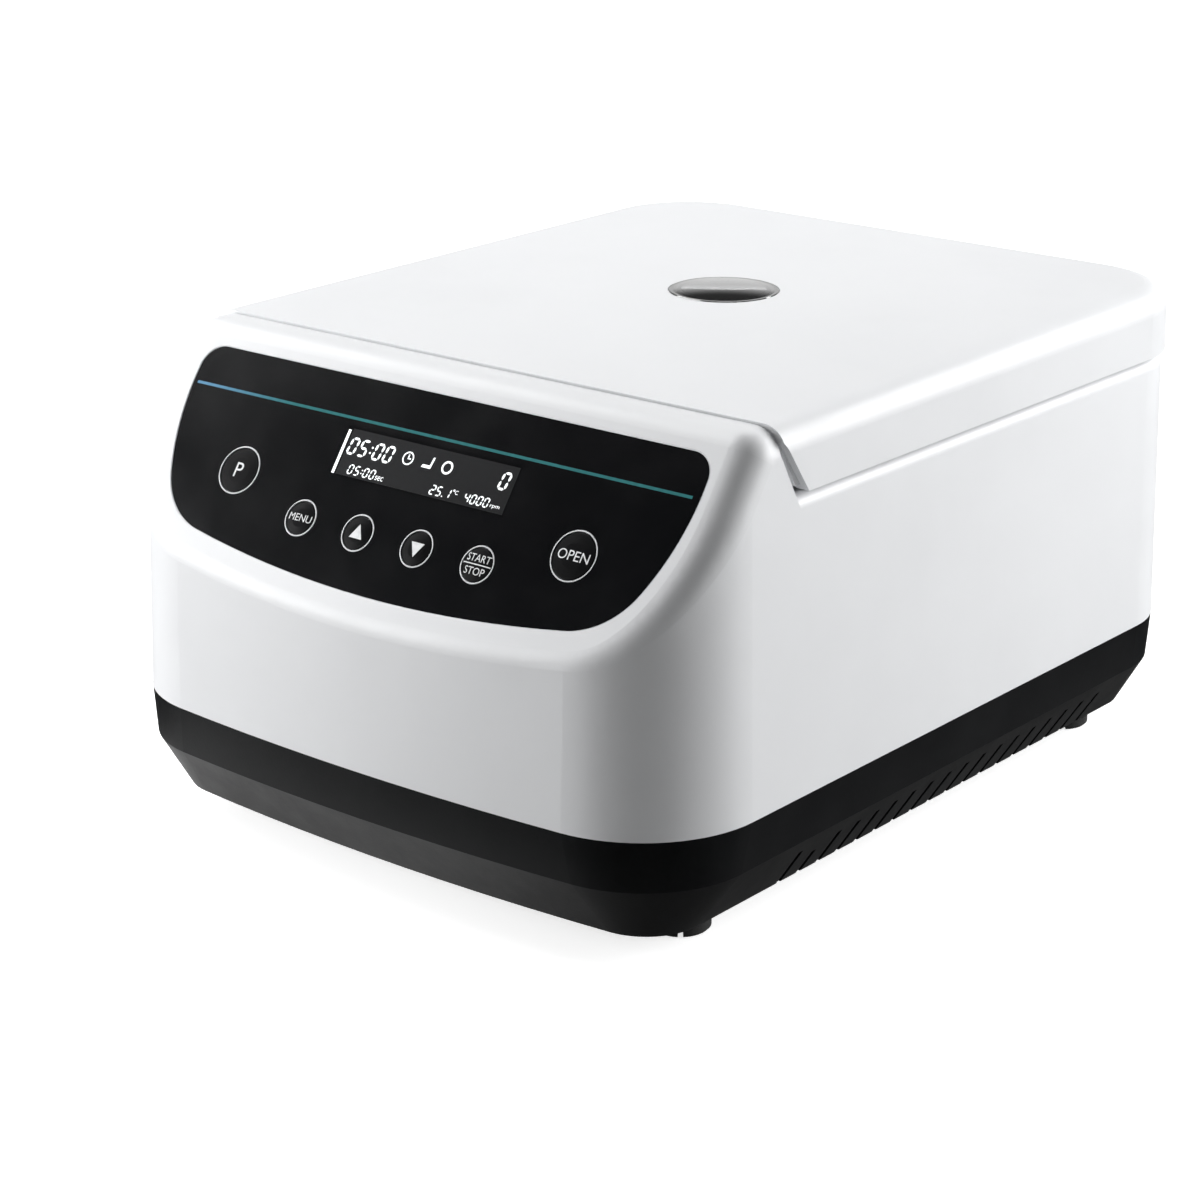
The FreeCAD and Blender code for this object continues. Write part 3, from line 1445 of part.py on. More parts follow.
LINER_SCREWS = [(side * (size.half_width - inward), y) for side in (-1, 1) for inward, y in
                ((23, 18 - size.lid_slant_foot), (19, size.axis_rear + 62), (41, size.half_depth - 32))]
lid_leaf_rear = size.hinge_rear - 2.0
lid_leaf_front = lid_leaf_rear - size.leaf_thickness
lid_leaf_low = size.hinge_height + size.knuckle_radius + size.hinge_relief
lid_leaf_high = size.hinge_height + size.lid_leaf_reach


def lid_shell():
    """Outer skin with a lip set in at the front, hollow underneath, open for the glass."""
    lip = size.lid_lip_inset
    wall = size.lid_wall
    foot = size.lid_slant_foot
    skin = lid_block("LidSkin", as_size(0), size.lid_bottom, foot, as_size(0), as_size(0), size.lid_round)
    front_lip = lid_block("LidLip", lip, size.liner_bottom, foot + size.lid_lip, wall / 2, as_size(0),
                          size.lid_round - lip)
    hollow = lid_block("LidHollow", wall, size.lid_bottom - 1, foot - wall, wall, wall + 0.5,
                       size.lid_round - wall)
    front_hollow = lid_block("LidFrontHollow", lip + wall, size.lid_bottom - 1,
                             foot + size.lid_lip - wall, wall, wall, size.lid_round - wall - lip)
    solid = subtract("LidHollowed", fuse("LidSolid", [skin, front_lip]),
                     fuse("LidHollows", [hollow, front_hollow]))
    liner_top = size.liner_bottom + size.liner_sheet
    adds = [solid]
    tools = [
        rod("GlassSeat", size.glass_radius + 0.3, 10, 0, size.axis_rear, size.glass_seat),
        rod("GlassOpening", size.glass_opening, 40, 0, size.axis_rear, size.glass_seat - 20),
    ]
    for i, (x, y) in enumerate(LINER_SCREWS):
        adds.append(rod(f"LidBoss{i}", size.lid_boss_radius, size.lid_front_height - 1.5 - liner_top, x, y,
                        liner_top))
        tools.append(rod(f"LidPilot{i}", size.screw_hole, 13, x, y, liner_top - 2))
    for side in HINGE_SIDES:
        left = side * size.hinge_x - size.hinge_half_length
        right = side * size.hinge_x + size.hinge_half_length
        adds.append(box(f"LidPad{side}", (left, lid_leaf_rear, liner_top + 0.5),
                        (right, lid_leaf_rear + 2, lid_leaf_high)))
        tools.append(rod(f"LidRelief{side}", size.knuckle_radius + size.hinge_relief, right - left + 1,
                         left - 0.5, size.hinge_rear, size.hinge_height, Vector(1, 0, 0)))
    return node(subtract("LidShell", fuse("LidBossed", adds), fuse("LidTools", tools)), "lid_shell")


def lid_liner():
    """Inner sheet of the lid, dished up over the rotor, with the tube's hole in the middle."""
    body = new_body("LinerPlate")
    sketch = new_sketch(body, "XY_Plane", size.liner_bottom)
    inset = mm.lid_wall - mm.lid_proud + 0.3 + lean(mm.liner_bottom + mm.liner_sheet)
    draw_curves(sketch, plan_outline(inset, mm.front_corner - inset, mm.rear_corner - inset))
    pad(body, sketch, size.liner_sheet)
    front = new_sketch(body, "XY_Plane", size.liner_bottom - 1, "Front")
    edge = size.lid_slant_foot - size.lid_wall - size.clearance
    draw_polygon(front, [(-size.half_width, -size.half_depth * 2), (size.half_width, -size.half_depth * 2),
                         (size.half_width, -edge), (-size.half_width, -edge)])
    cut(body, front, as_size(10), "Front", up=True)
    rise = size.liner_dish_rise
    rim = size.liner_dish_radius
    low = size.liner_bottom
    skin = size.liner_sheet
    hole = size.glass_opening - 0.1
    dish = turned("LinerDish", [
        (hole, low + rise), (rim - 4, low + rise), (rim, low), (rim + 4, low), (rim + 4, low + skin),
        (rim + 1, low + skin), (rim - 3, low + rise + skin), (hole, low + rise + skin),
    ], 0, axis_y)
    opening = rod("DishOpening", rim, 20, 0, axis_y, low - 5)
    tools = []
    for i, (x, y) in enumerate(LINER_SCREWS):
        tools.append(rod(f"LinerHole{i}", size.screw_hole, 10, x, y, low - 3))
    for side in HINGE_SIDES:
        middle_x = side * size.hinge_x
        reach = size.hinge_half_length + 0.8
        tools.append(box(f"LinerNotch{side}", (middle_x - reach, lid_leaf_front - 0.5, low - 3),
                         (middle_x + reach, size.half_depth, low + 8)))
    solid = fuse("LinerSolid", [subtract("LinerRing", body, opening), dish])
    return node(subtract("Liner", solid, fuse("LinerTools", tools)), "lid_liner")


def sight_glass():
    """Shallow clear dome on a flat rim, let into the lid's top."""
    body = new_body("SightGlass")
    sketch = new_sketch(body, "XZ_Plane")
    low = mm.glass_seat
    edge = low + mm.glass_flange
    foot = mm.glass_radius - mm.glass_shoulder
    rise = mm.glass_crown - mm.glass_flange
    radius = (foot ** 2 + rise ** 2) / (2 * rise)
    turn = math.asin(foot / radius)
    rim = mm.glass_radius
    draw_curves(sketch, [
        line(0, low, rim, low), line(rim, low, rim, edge - mm.glass_bevel),
        line(rim, edge - mm.glass_bevel, rim - mm.glass_bevel, edge),
        line(rim - mm.glass_bevel, edge, foot, edge),
        arc(0, edge + rise - radius, radius, math.pi / 2 - turn, math.pi / 2),
        line(0, edge + rise, 0, low),
    ])
    feature = body.newObject("PartDesign::Revolution", "Turning")
    feature.Profile = sketch
    feature.ReferenceAxis = (sketch, ["V_Axis"])
    feature.Angle = 360
    place(body, 0, axis_y, 0)
    return node(body, "sight_glass")


def sight_tube():
    """Dark tube from the liner up to the glass, with a collar on the liner."""
    outer = size.glass_opening - 0.3
    inner = outer - size.tube_wall
    low = size.liner_bottom + size.liner_dish_rise - 1
    dish_top = size.liner_bottom + size.liner_dish_rise + size.liner_sheet
    body = turned("SightTube", [
        (inner, low), (outer, low), (outer, dish_top), (outer + size.tube_collar, dish_top),
        (outer + size.tube_collar, dish_top + size.tube_wall), (outer, dish_top + size.tube_wall),
        (outer, size.glass_seat), (inner, size.glass_seat),
    ], 0, axis_y)
    return node(body, "sight_tube")


def lid_striker():
    """Steel plate under the lid's front edge; the latch's nose enters its window."""
    front = -size.striker_front
    rear = front + size.striker_sheet
    half = size.striker_half_width
    top = size.liner_bottom
    plate = box("StrikerPlate", (-half, front, size.striker_bottom), (half, rear, top))
    foot = box("StrikerFoot", (-half, rear - 0.5, top - 1.5), (half, rear + 11, top))
    window = box("StrikerWindow", (-half + 3, front - 5, size.striker_bottom + size.striker_bar),
                 (half - 3, rear + 5, top - 8.5))
    return node(subtract("Striker", fuse("StrikerSolid", [plate, foot]), window), "lid_striker")


def liner_screws():
    screws = [screw(f"LinerScrew{i}", x, y, size.liner_bottom, UP) for i, (x, y) in enumerate(LINER_SCREWS)]
    return node(gather("LinerScrews", screws), "liner_screws")


# ---------------------------------------------------------------- hinges and latch

ALONG_X = Vector(1, 0, 0)


def knuckle(name, start, end, middle_x):
    """A knuckle round the hinge axis between two distances along it."""
    length = as_size(end) - start
    x = middle_x + start
    tube = rod(f"{name}Barrel", size.knuckle_radius, length, x, size.hinge_rear, size.hinge_height, ALONG_X)
    return tube


def hinge_leaves():
    """Fixed leaves: a plate inside the rear wall that bridges back to two end knuckles."""
    half = size.hinge_half_length
    split = size.knuckle_split + 0.3
    leaves = []
    for side in HINGE_SIDES:
        x = side * size.hinge_x
        name = f"Fixed{side}"
        parts = [box(f"{name}Plate", (x - half, fixed_leaf_front, leaf_low),
                     (x + half, fixed_leaf_rear, bridge_low + 0.5))]
        for start, end in ((-half, -split), (split, half)):
            tag = "L" if float(start) < 0 else "R"
            parts.append(knuckle(name + tag, start, end, x))
            parts.append(box(f"{name}{tag}Bridge", (x + start, fixed_leaf_front, bridge_low),
                             (x + end, size.hinge_rear - 1, size.hinge_height - 0.1)))
        bore = rod(f"{name}Bore", size.hinge_pin_radius + size.running_gap, half * 2 + 10, x - half - 5,
                   size.hinge_rear, size.hinge_height, ALONG_X)
        leaves.append(subtract(f"{name}Leaf", fuse(f"{name}Solid", parts), bore))
    return node(gather("HingeLeaves", leaves), "hinge_leaves")


def lid_hinge_leaves():
    """Leaves that turn with the lid: a plate on its rear wall and one middle knuckle."""
    half = size.hinge_half_length
    split = size.knuckle_split - 0.3
    leaves = []
    for side in HINGE_SIDES:
        x = side * size.hinge_x
        name = f"Moving{side}"
        parts = [
            box(f"{name}Plate", (x - half, lid_leaf_front, lid_leaf_low),
                (x + half, lid_leaf_rear, lid_leaf_high)),
            box(f"{name}Tongue", (x - split, lid_leaf_front, size.hinge_height),
                (x + split, lid_leaf_rear, lid_leaf_low + 1)),
            knuckle(name, -split, split, x),
        ]
        bore = rod(f"{name}Bore", size.hinge_pin_radius + size.running_gap, half * 2, x - half,
                   size.hinge_rear, size.hinge_height, ALONG_X)
        leaves.append(subtract(f"{name}Leaf", fuse(f"{name}Solid", parts), bore))
    return node(gather("LidHingeLeaves", leaves), "lid_hinge_leaves")


def hinge_pins():
    half = size.hinge_half_length
    pins = [rod(f"HingePin{side}", size.hinge_pin_radius, half * 2 + 0.6, side * size.hinge_x - half - 0.3,
                size.hinge_rear, size.hinge_height, ALONG_X) for side in HINGE_SIDES]
    return node(gather("HingePins", pins), "hinge_pins")


def latch_frame():
    """Folded bracket under the deck that carries the hook's pin and the solenoid."""
    inner = size.latch_frame_half
    t = size.latch_sheet
    front = -(size.latch_pivot_front + size.latch_frame_reach)
    rear = -(size.latch_pivot_front - size.latch_frame_reach)
    low = size.latch_pivot_height - size.latch_floor_drop
    high = size.deck_height - size.deck_skin
    parts = [box("LatchFloor", (-(inner + t), front, low), (inner + t, rear, low + t))]
    for side in (-1, 1):
        near = side * inner
        far = side * (inner + t)
        wing = side * (inner + 10)
        left, right = (near, far) if side > 0 else (far, near)
        parts.append(box(f"LatchSide{side}", (left, front + 10, low), (right, rear, high)))
        left, right = (near, wing) if side > 0 else (wing, near)
        parts.append(box(f"LatchWing{side}", (left, front + 17, high - t), (right, rear, high)))
    parts.append(rod("LatchPin", size.latch_pin_radius, (inner + t) * 2 + 2, -(inner + t + 1),
                     -size.latch_pivot_front, size.latch_pivot_height, ALONG_X))
    hole = rod("PlungerHole", size.plunger_radius + 0.6, 10, 0,
               -(size.latch_pivot_front + size.plunger_offset), low - 5)
    return node(subtract("LatchFrame", fuse("LatchFrameSolid", parts), hole), "latch_frame")


def latch_hook():
    """Bell crank on the frame's pin: an arm with a nose, and a tail over the plunger."""
    body = new_body("LatchHook")
    sketch = new_sketch(body, "YZ_Plane", -size.hook_half_thickness)
    arm = size.hook_arm
    draw_polygon(sketch, [
        (-size.hook_tail, -3), (3.2, -3), (4.2, 0), (3.4, 4), (3.4, arm - 4), (size.hook_nose, arm - 2),
        (size.hook_nose, arm + 0.5), (4.2, arm + 2), (-2.6, arm + 2), (-3.4, arm - 2), (-3.4, 4), (-5, 2),
        (-size.hook_tail, 1.5),
    ])
    pad(body, sketch, size.hook_half_thickness * 2)
    hole = new_sketch(body, "YZ_Plane", name="Hole")
    draw_circle(hole, 0, 0, size.latch_pin_radius + size.running_gap)
    cut(body, hole, size.hook_half_thickness * 4, "Hole", both=True)
    place(body, 0, -size.latch_pivot_front, size.latch_pivot_height)
    return node(body, "latch_hook")


def latch_solenoid():
    """Solenoid coil in its can, hung under the latch frame round the plunger."""
    r = size.solenoid_radius
    high = size.latch_pivot_height - size.latch_floor_drop
    low = high - size.solenoid_length
    bore = size.plunger_radius + 0.3
    body = turned("Solenoid", [
        (0, low), (r, low), (r, low + 4), (r - 1, low + 4.5), (r - 1, high - 4.5), (r, high - 4), (r, high),
        (bore, high), (bore, low + 8), (0, low + 8),
    ], 0, -(size.latch_pivot_front + size.plunger_offset))
    return node(body, "latch_solenoid")


def solenoid_plunger():
    low = size.latch_pivot_height - 28
    r = size.plunger_radius
    top = size.latch_pivot_height - 3.3
    body = turned("Plunger", [
        (0, low), (r, low), (r, top - 4), (size.plunger_tip, top - 3), (size.plunger_tip, top), (0, top),
    ], 0, -(size.latch_pivot_front + size.plunger_offset))
    return node(body, "solenoid_plunger")


# ---------------------------------------------------------------- rear connectors, electronics

def power_inlet():
    """Mains inlet: flange, body through the panel, shrouded socket with three blades."""
    x = size.inlet_x
    z = size.inlet_height
    face = size.rear_panel_face
    wide = size.inlet_flange_half_width
    tall = size.inlet_flange_half_height
    body_wide = size.inlet_body_half_width
    body_tall = size.inlet_body_half_height
    flange = box("InletFlange", (x - wide, face, z - tall), (x + wide, face + size.inlet_wall, z + tall))
    shroud = box("InletShroud", (x - body_wide, face - size.inlet_depth, z - body_tall),
                 (x + body_wide, face + 0.5, z + body_tall))
    hole_wide = body_wide - size.inlet_wall
    hole_tall = body_tall - size.inlet_wall - 0.2
    socket = box("InletSocket", (x - hole_wide, face - size.socket_depth, z - hole_tall),
                 (x + hole_wide, face + 5, z + hole_tall))
    blades = []
    for i, (across, up) in enumerate(((-1, 1.0), (0, -2.5), (1, 1.0))):
        left = x + size.blade_spread * across - size.blade_width / 2
        low = z + up - size.blade_height / 2
        blades.append(box(f"InletBlade{i}", (left, face - size.socket_depth - 1, low),
                          (left + size.blade_width, face, low + size.blade_height)))
    rounded = document.addObject("Part::Fillet", "InletRounded")
    rounded.Base = flange
    document.recompute()
    corners = [i for i, edge in enumerate(flange.Shape.Edges, start=1)
               if edge.BoundBox.YLength > 1 and edge.BoundBox.XLength < 0.01 and edge.BoundBox.ZLength < 0.01]
    rounded.Edges = [(i, mm.inlet_wall, mm.inlet_wall) for i in corners]
    hollow = subtract("InletHollow", fuse("InletSolid", [rounded, shroud]), socket)
    return node(fuse("Inlet", [hollow] + blades), "power_inlet")


rocker_pivot = size.rear_panel_face - size.rocker_sink


def switch_frame():
    """Frame of the mains switch with the axle its rocker turns on."""
    x = size.rocker_x
    z = size.inlet_height
    face = size.rear_panel_face
    wall = size.switch_wall
    wide = size.switch_body_half_width
    tall = size.switch_body_half_height
    rim_wide = size.switch_flange_half_width
    rim_tall = size.switch_flange_half_height
    flange = box("SwitchFlange", (x - rim_wide, face, z - rim_tall), (x + rim_wide, face + 1.5, z + rim_tall))
    body = box("SwitchBody", (x - wide, face - size.switch_depth, z - tall), (x + wide, face + 0.5, z + tall))
    well = box("SwitchWell", (x - wide + wall, face - 9, z - tall + wall + 0.5),
               (x + wide - wall, face + 5, z + tall - wall - 0.5))
    axle = rod("SwitchAxle", size.axle_radius, (wide - wall) * 2 + 0.6, x - wide + wall - 0.3, rocker_pivot, z,
               ALONG_X)
    hollow = subtract("SwitchHollow", fuse("SwitchSolid", [flange, body]), well)
    return node(fuse("SwitchFrame", [hollow, axle]), "switch_frame")


def power_rocker():
    """Rocker with two faces that meet at a shallow angle, at rest on its lower end."""
    body = new_body("Rocker")
    sketch = new_sketch(body, "YZ_Plane", -size.rocker_half_width)
    tall = size.rocker_half_height
    draw_polygon(sketch, [(-3.5, -2.5), (0.5, -tall), (5.0, -tall), (3.4, 0), (5.0, tall), (0.5, tall),
                          (-3.5, 2.5)])
    pad(body, sketch, size.rocker_half_width * 2)
    hole = new_sketch(body, "YZ_Plane", name="Axle")
    draw_circle(hole, 0, 0, size.axle_radius + size.running_gap)
    cut(body, hole, as_size(30), "Axle", both=True)
    place(body, size.rocker_x, rocker_pivot, size.inlet_height, Rotation(ALONG_X, -mm.rocker_rest))
    return node(body, "power_rocker")


def drive_board():
    """Circuit board on four posts, with its capacitors and a transformer."""
    half = size.drive_board_half
    front = -size.drive_board_front
    low = size.drive_board_height
    top = low + size.board_thickness
    plate = block("DrivePlate", (-half, front, low), (half, -size.drive_board_rear, top), 2.0)
    holes = [rod(f"DriveHole{i}", 1.6, 10, x, y, low - 4) for i, (x, y) in enumerate(BOARD_POSTS)]
    parts = [subtract("DriveDrilled", plate, fuse("DriveHoles", holes))]
    for i, x in enumerate((14, 34, 54)):
        parts.append(rod(f"Capacitor{i}", size.capacitor_radius, size.capacitor_height, x, front + 18,
                         top - 0.2))
    parts.append(box("Transformer", (12, front + 34, top - 0.2), (46, front + 56, top + 20)))
    parts.append(box("Terminals", (52, front + 38, top - 0.2), (62, front + 56, top + 9)))
    return node(fuse("DriveBoard", parts), "drive_board")


def heat_sink():
    """Finned aluminium block on the drive board."""
    body = new_body("HeatSink")
    low = size.drive_board_height + size.board_thickness
    left = 13 - size.drive_board_half
    right = left + size.sink_width
    front = 10 - size.drive_board_front
    rear = front + size.sink_depth
    base = new_sketch(body, "XY_Plane", low, "Base")
    draw_polygon(base, [(left, front), (right, front), (right, rear), (left, rear)])
    pad(body, base, size.sink_base, "Base")
    fin_sketch = new_sketch(body, "XY_Plane", low + size.sink_base - 1, "Fin")
    draw_polygon(fin_sketch, [(left, front), (left + size.sink_fin, front), (left + size.sink_fin, rear),
                              (left, rear)])
    fin = pad(body, fin_sketch, size.sink_height - size.sink_base + 1, "Fin")
    pattern = body.newObject("PartDesign::LinearPattern", "Fins")
    pattern.Originals = [fin]
    pattern.Direction = (fin_sketch, ["H_Axis"])
    bind(pattern, "Length", size.sink_width - size.sink_fin)
    pattern.Occurrences = int(mm.sink_fins)
    body.Tip = pattern
    return node(body, "heat_sink")


# ---------------------------------------------------------------- the whole instrument

upper_housing()
base_tray()
rubber_feet()
case_screws()
control_fascia()
display_window()
display_module()
key_rings()
for key_name, (key_x, key_down, key_radius) in KEYS.items():
    key_cap(key_name, key_x, key_down, key_radius)
control_board()
key_switches()
chamber_bowl()
chamber_gasket()
motor()
motor_plate()
vibration_dampers()
shaft_boot()
motor_shaft()
rotor_head()
rotor_nut()
trunnion_pins()
for number, turn in enumerate(CARRIER_TURNS, start=1):
    slide_carrier(number, turn)
    glass_slide(number, turn)
    filter_card(number, turn)
    sample_chamber(number, turn)
lid_shell()
lid_liner()
sight_glass()
sight_tube()
lid_striker()
liner_screws()
hinge_leaves()
lid_hinge_leaves()
hinge_pins()
latch_frame()
latch_hook()
latch_solenoid()
solenoid_plunger()
power_inlet()
switch_frame()
power_rocker()
drive_board()
heat_sink()

document.recompute()

failed = [item.Name for item in document.Objects if "Invalid" in item.State or "Error" in item.State]
if failed:
    raise RuntimeError(f"objects that did not build: {failed}")
for item in NODES:
    if item.Shape.isNull() or not item.Shape.isValid() or not item.Shape.Solids:
        raise RuntimeError(f"{item.Label} has no sound solid")

os.makedirs("parts", exist_ok=True)
for item in NODES:
    item.Shape.exportStep(os.path.join("parts", f"{item.Label}.step"))
    bounds = item.Shape.BoundBox
    print(f"{item.Label}: {len(item.Shape.Solids)} solids, {item.Shape.Volume:.0f} mm3, "
          f"x {bounds.XMin:.1f} {bounds.XMax:.1f}, y {bounds.YMin:.1f} {bounds.YMax:.1f}, "
          f"z {bounds.ZMin:.1f} {bounds.ZMax:.1f}")
print(f"{len(NODES)} sub-parts")
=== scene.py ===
# %% [markdown]
# # A bench cytocentrifuge
# A white moulded cabinet stands on a charcoal tray. It has a sloping black control panel, a
# hinged lid with a round sight glass, and inside it a rotor with four swing-out slide carriers.
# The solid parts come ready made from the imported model. This lesson gives them their finishes,
# adds the small printed and lit details, and sets up a plain studio round them.
# Loading the frame first means every later piece can be placed from the real nodes.

# %% Load the frame
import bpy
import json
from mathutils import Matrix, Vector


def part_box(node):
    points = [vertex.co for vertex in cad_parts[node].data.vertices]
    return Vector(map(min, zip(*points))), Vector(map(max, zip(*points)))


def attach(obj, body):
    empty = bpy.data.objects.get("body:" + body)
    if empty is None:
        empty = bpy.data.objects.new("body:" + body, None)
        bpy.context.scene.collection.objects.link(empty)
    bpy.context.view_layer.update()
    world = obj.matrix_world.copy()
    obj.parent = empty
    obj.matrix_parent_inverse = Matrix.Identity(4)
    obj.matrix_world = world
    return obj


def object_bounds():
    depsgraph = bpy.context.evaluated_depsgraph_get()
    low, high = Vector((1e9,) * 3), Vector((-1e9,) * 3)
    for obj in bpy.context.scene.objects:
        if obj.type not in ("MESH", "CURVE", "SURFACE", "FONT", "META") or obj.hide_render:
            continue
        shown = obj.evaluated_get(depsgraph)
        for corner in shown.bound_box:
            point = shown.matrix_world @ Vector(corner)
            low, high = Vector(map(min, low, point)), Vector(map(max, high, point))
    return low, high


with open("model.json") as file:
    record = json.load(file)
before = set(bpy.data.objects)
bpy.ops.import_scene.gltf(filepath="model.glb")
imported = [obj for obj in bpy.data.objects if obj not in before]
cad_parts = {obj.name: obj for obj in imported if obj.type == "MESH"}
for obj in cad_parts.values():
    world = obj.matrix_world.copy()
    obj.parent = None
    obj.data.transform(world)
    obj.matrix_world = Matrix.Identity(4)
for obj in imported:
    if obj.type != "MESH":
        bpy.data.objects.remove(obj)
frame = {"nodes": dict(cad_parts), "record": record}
cad_box = [list(corner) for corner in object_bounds()]

import json
import math

import bmesh
import bpy
from mathutils import Matrix, Vector, geometry

nodes = frame["nodes"]

# %% [markdown]
# ## Camera
# A long lens stands to the right of the front, a little above the lid. It could be aimed with a
# constraint, but a camera built from three plain angles is easier to read and never moves.

# %% Camera
LENS_MM = 90.777
SENSOR_MM = 36.0
YAW, PITCH, ROLL = math.radians(39.03), math.radians(18.945), math.radians(-0.196)
CAMERA_PLACE = Vector((0.73555, -0.95039, 0.48510))

camera_data = bpy.data.cameras.new("studio_camera")
camera_data.lens = LENS_MM
camera_data.sensor_width = SENSOR_MM
camera = bpy.data.objects.new("studio_camera", camera_data)
camera.matrix_world = (Matrix.Translation(CAMERA_PLACE) @ Matrix.Rotation(YAW, 4, "Z")
                       @ Matrix.Rotation(math.pi / 2 - PITCH, 4, "X") @ Matrix.Rotation(-ROLL, 4, "Z"))
bpy.context.scene.collection.objects.link(camera)
bpy.context.scene.camera = camera
bpy.context.scene.view_settings.view_transform = "Standard"
print("camera at", [round(v, 3) for v in camera.location])

# %% [markdown]
# ## Studio
# White plastic shows its shape only where light falls off across it, so a real studio would put
# soft boxes round it. A small one stands close to the left of the front, so that its light fades
# along the bowed wall, and a large one high on the left lights the brow. Two more stand to the
# right and behind, and a weaker one high at the rear left fills in the lid. The weakest is there
# only to be mirrored in the left end of the black panel. None stands on the camera's side, so the
# rounded front corner stays darker and reads as round. One bright dome would be simpler, but it
# would flatten every edge.

# %% Soft boxes
AIM = Vector((0, 0, 0.1))


def soft_box(name, bearing, height, distance, size, power):
    """An area lamp aimed at the object; bearing (from the front, to the right) and height in degrees."""
    data = bpy.data.lights.new(name, "AREA")
    data.shape = "RECTANGLE"
    data.size, data.size_y = size
    data.energy = power
    lamp = bpy.data.objects.new(name, data)
    turn, rise = math.radians(bearing), math.radians(height)
    outward = Vector((math.cos(rise) * math.sin(turn), -math.cos(rise) * math.cos(turn), math.sin(rise)))
    lamp.location = AIM + outward * distance
    lamp.rotation_euler = (-outward).to_track_quat("-Z", "Y").to_euler()
    bpy.context.scene.collection.objects.link(lamp)
    return lamp


# name, bearing, height, distance in metres, (width, height) in metres, power in watts
LAMPS = [
    ("front_left_box", -42, 11, 1.0, (0.6, 0.45), 6.9),
    ("high_left_box", -77, 50, 1.8, (1.0, 1.0), 18),
    ("panel_glint_box", -66, 31, 1.7, (0.3, 0.3), 1.6),
    ("rear_left_box", -141, 58, 1.8, (1.0, 1.0), 9),
    ("right_box", 123, 15, 1.9, (1.1, 1.0), 23.5),
    ("rear_right_box", 150, 25, 1.9, (1.1, 1.0), 22),
]
for lamp in LAMPS:
    soft_box(*lamp)
print("soft boxes:", len(LAMPS))

# %% [markdown]
# ## Sums in shader nodes
# A shader can only add or multiply through Math nodes, and writing each one out takes five lines.
# Four small helpers keep the trees below readable. A value they are given may be a plain number or
# another node's socket, so the same call serves both.

# %% Node helpers
def link(tree, source, target):
    tree.links.new(source, target)


def feed(tree, slot, value):
    """Give an input a number or a colour, or link it to a socket."""
    if isinstance(value, (int, float, tuple)):
        slot.default_value = value
    else:
        link(tree, value, slot)


def math_node(tree, operation, *values, clamp=False):
    """A Math node whose inputs are numbers or sockets."""
    item = tree.nodes.new("ShaderNodeMath")
    item.operation = operation
    item.use_clamp = clamp
    for slot, value in zip(item.inputs, values):
        feed(tree, slot, value)
    return item.outputs[0]


def spread(tree, value, low_in, high_in, low_out, high_out, smooth=True):
    """Map Range, with a smooth step unless told otherwise; the limits may be sockets."""
    item = tree.nodes.new("ShaderNodeMapRange")
    item.interpolation_type = "SMOOTHSTEP" if smooth else "LINEAR"
    link(tree, value, item.inputs["Value"])
    names = ("From Min", "From Max", "To Min", "To Max")
    for name, number in zip(names, (low_in, high_in, low_out, high_out)):
        feed(tree, item.inputs[name], number)
    return item.outputs["Result"]


print("node helpers: link, feed, math_node, spread")

# %% [markdown]
# ## Surroundings
# The camera sees plain white round the object. Mirrored in it, the surroundings are white only low
# behind it, where a lit backdrop would hang, and dark above it and on the camera's side, as in a
# dark room. One white world would be simpler, but the black panel would mirror it and turn grey.

# %% World
WHITE = (1.0, 1.0, 1.0, 1.0)
# how much of a ray's X and of its Y counts as pointing behind the object
REARWARD_X, REARWARD_Y = -0.45, 0.77
# sine of a ray's rise at which the backdrop starts and ends fading, and its share below and above
BACKDROP_FADE = (0.2, 0.38, 1.0, 0.08)
BEHIND_GAIN, BEHIND_BASE = 0.9, 0.12
MIRRORED_BACKDROP = 0.9

world = bpy.data.worlds.new("studio_world")
bpy.context.scene.world = world
world.use_nodes = True
sky = world.node_tree
sky.nodes.clear()
direction = sky.nodes.new("ShaderNodeTexCoord").outputs["Generated"]
split = sky.nodes.new("ShaderNodeSeparateXYZ")
link(sky, direction, split.inputs[0])
rearward = math_node(sky, "ADD", math_node(sky, "MULTIPLY", split.outputs["Y"], REARWARD_Y),
                     math_node(sky, "MULTIPLY", split.outputs["X"], REARWARD_X))
low = spread(sky, split.outputs["Z"], *BACKDROP_FADE)
behind = math_node(sky, "MULTIPLY_ADD", rearward, BEHIND_GAIN, BEHIND_BASE, clamp=True)
backdrop_share = math_node(sky, "MULTIPLY", behind, low)
path = sky.nodes.new("ShaderNodeLightPath")
mirrored = math_node(sky, "ADD", path.outputs["Is Glossy Ray"], path.outputs["Is Transmission Ray"])
shown = math_node(sky, "MULTIPLY", math_node(sky, "MULTIPLY", mirrored, backdrop_share), MIRRORED_BACKDROP)
seen = math_node(sky, "MAXIMUM", path.outputs["Is Camera Ray"], shown)
background = sky.nodes.new("ShaderNodeBackground")
background.inputs["Color"].default_value = WHITE
link(sky, seen, background.inputs["Strength"])
link(sky, background.outputs[0], sky.nodes.new("ShaderNodeOutputWorld").inputs[0])
print("world:", world.name)

# %% [markdown]
# ## Floor
# The floor must look white and still carry a soft shadow. Lighting it until it clips would also
# wash out the cabinet, so the paper glows for the camera and adds its own lit colour to that.
# In mirrored rays the paper is dark, except for a strip beside the left half of the object: as in
# a studio where a small sheet lies under it, the tray's lower slope picks up light from there.

# %% Floor sheet
def link_object(name, mesh):
    item = bpy.data.objects.new(name, mesh)
    bpy.context.scene.collection.objects.link(item)
    return item


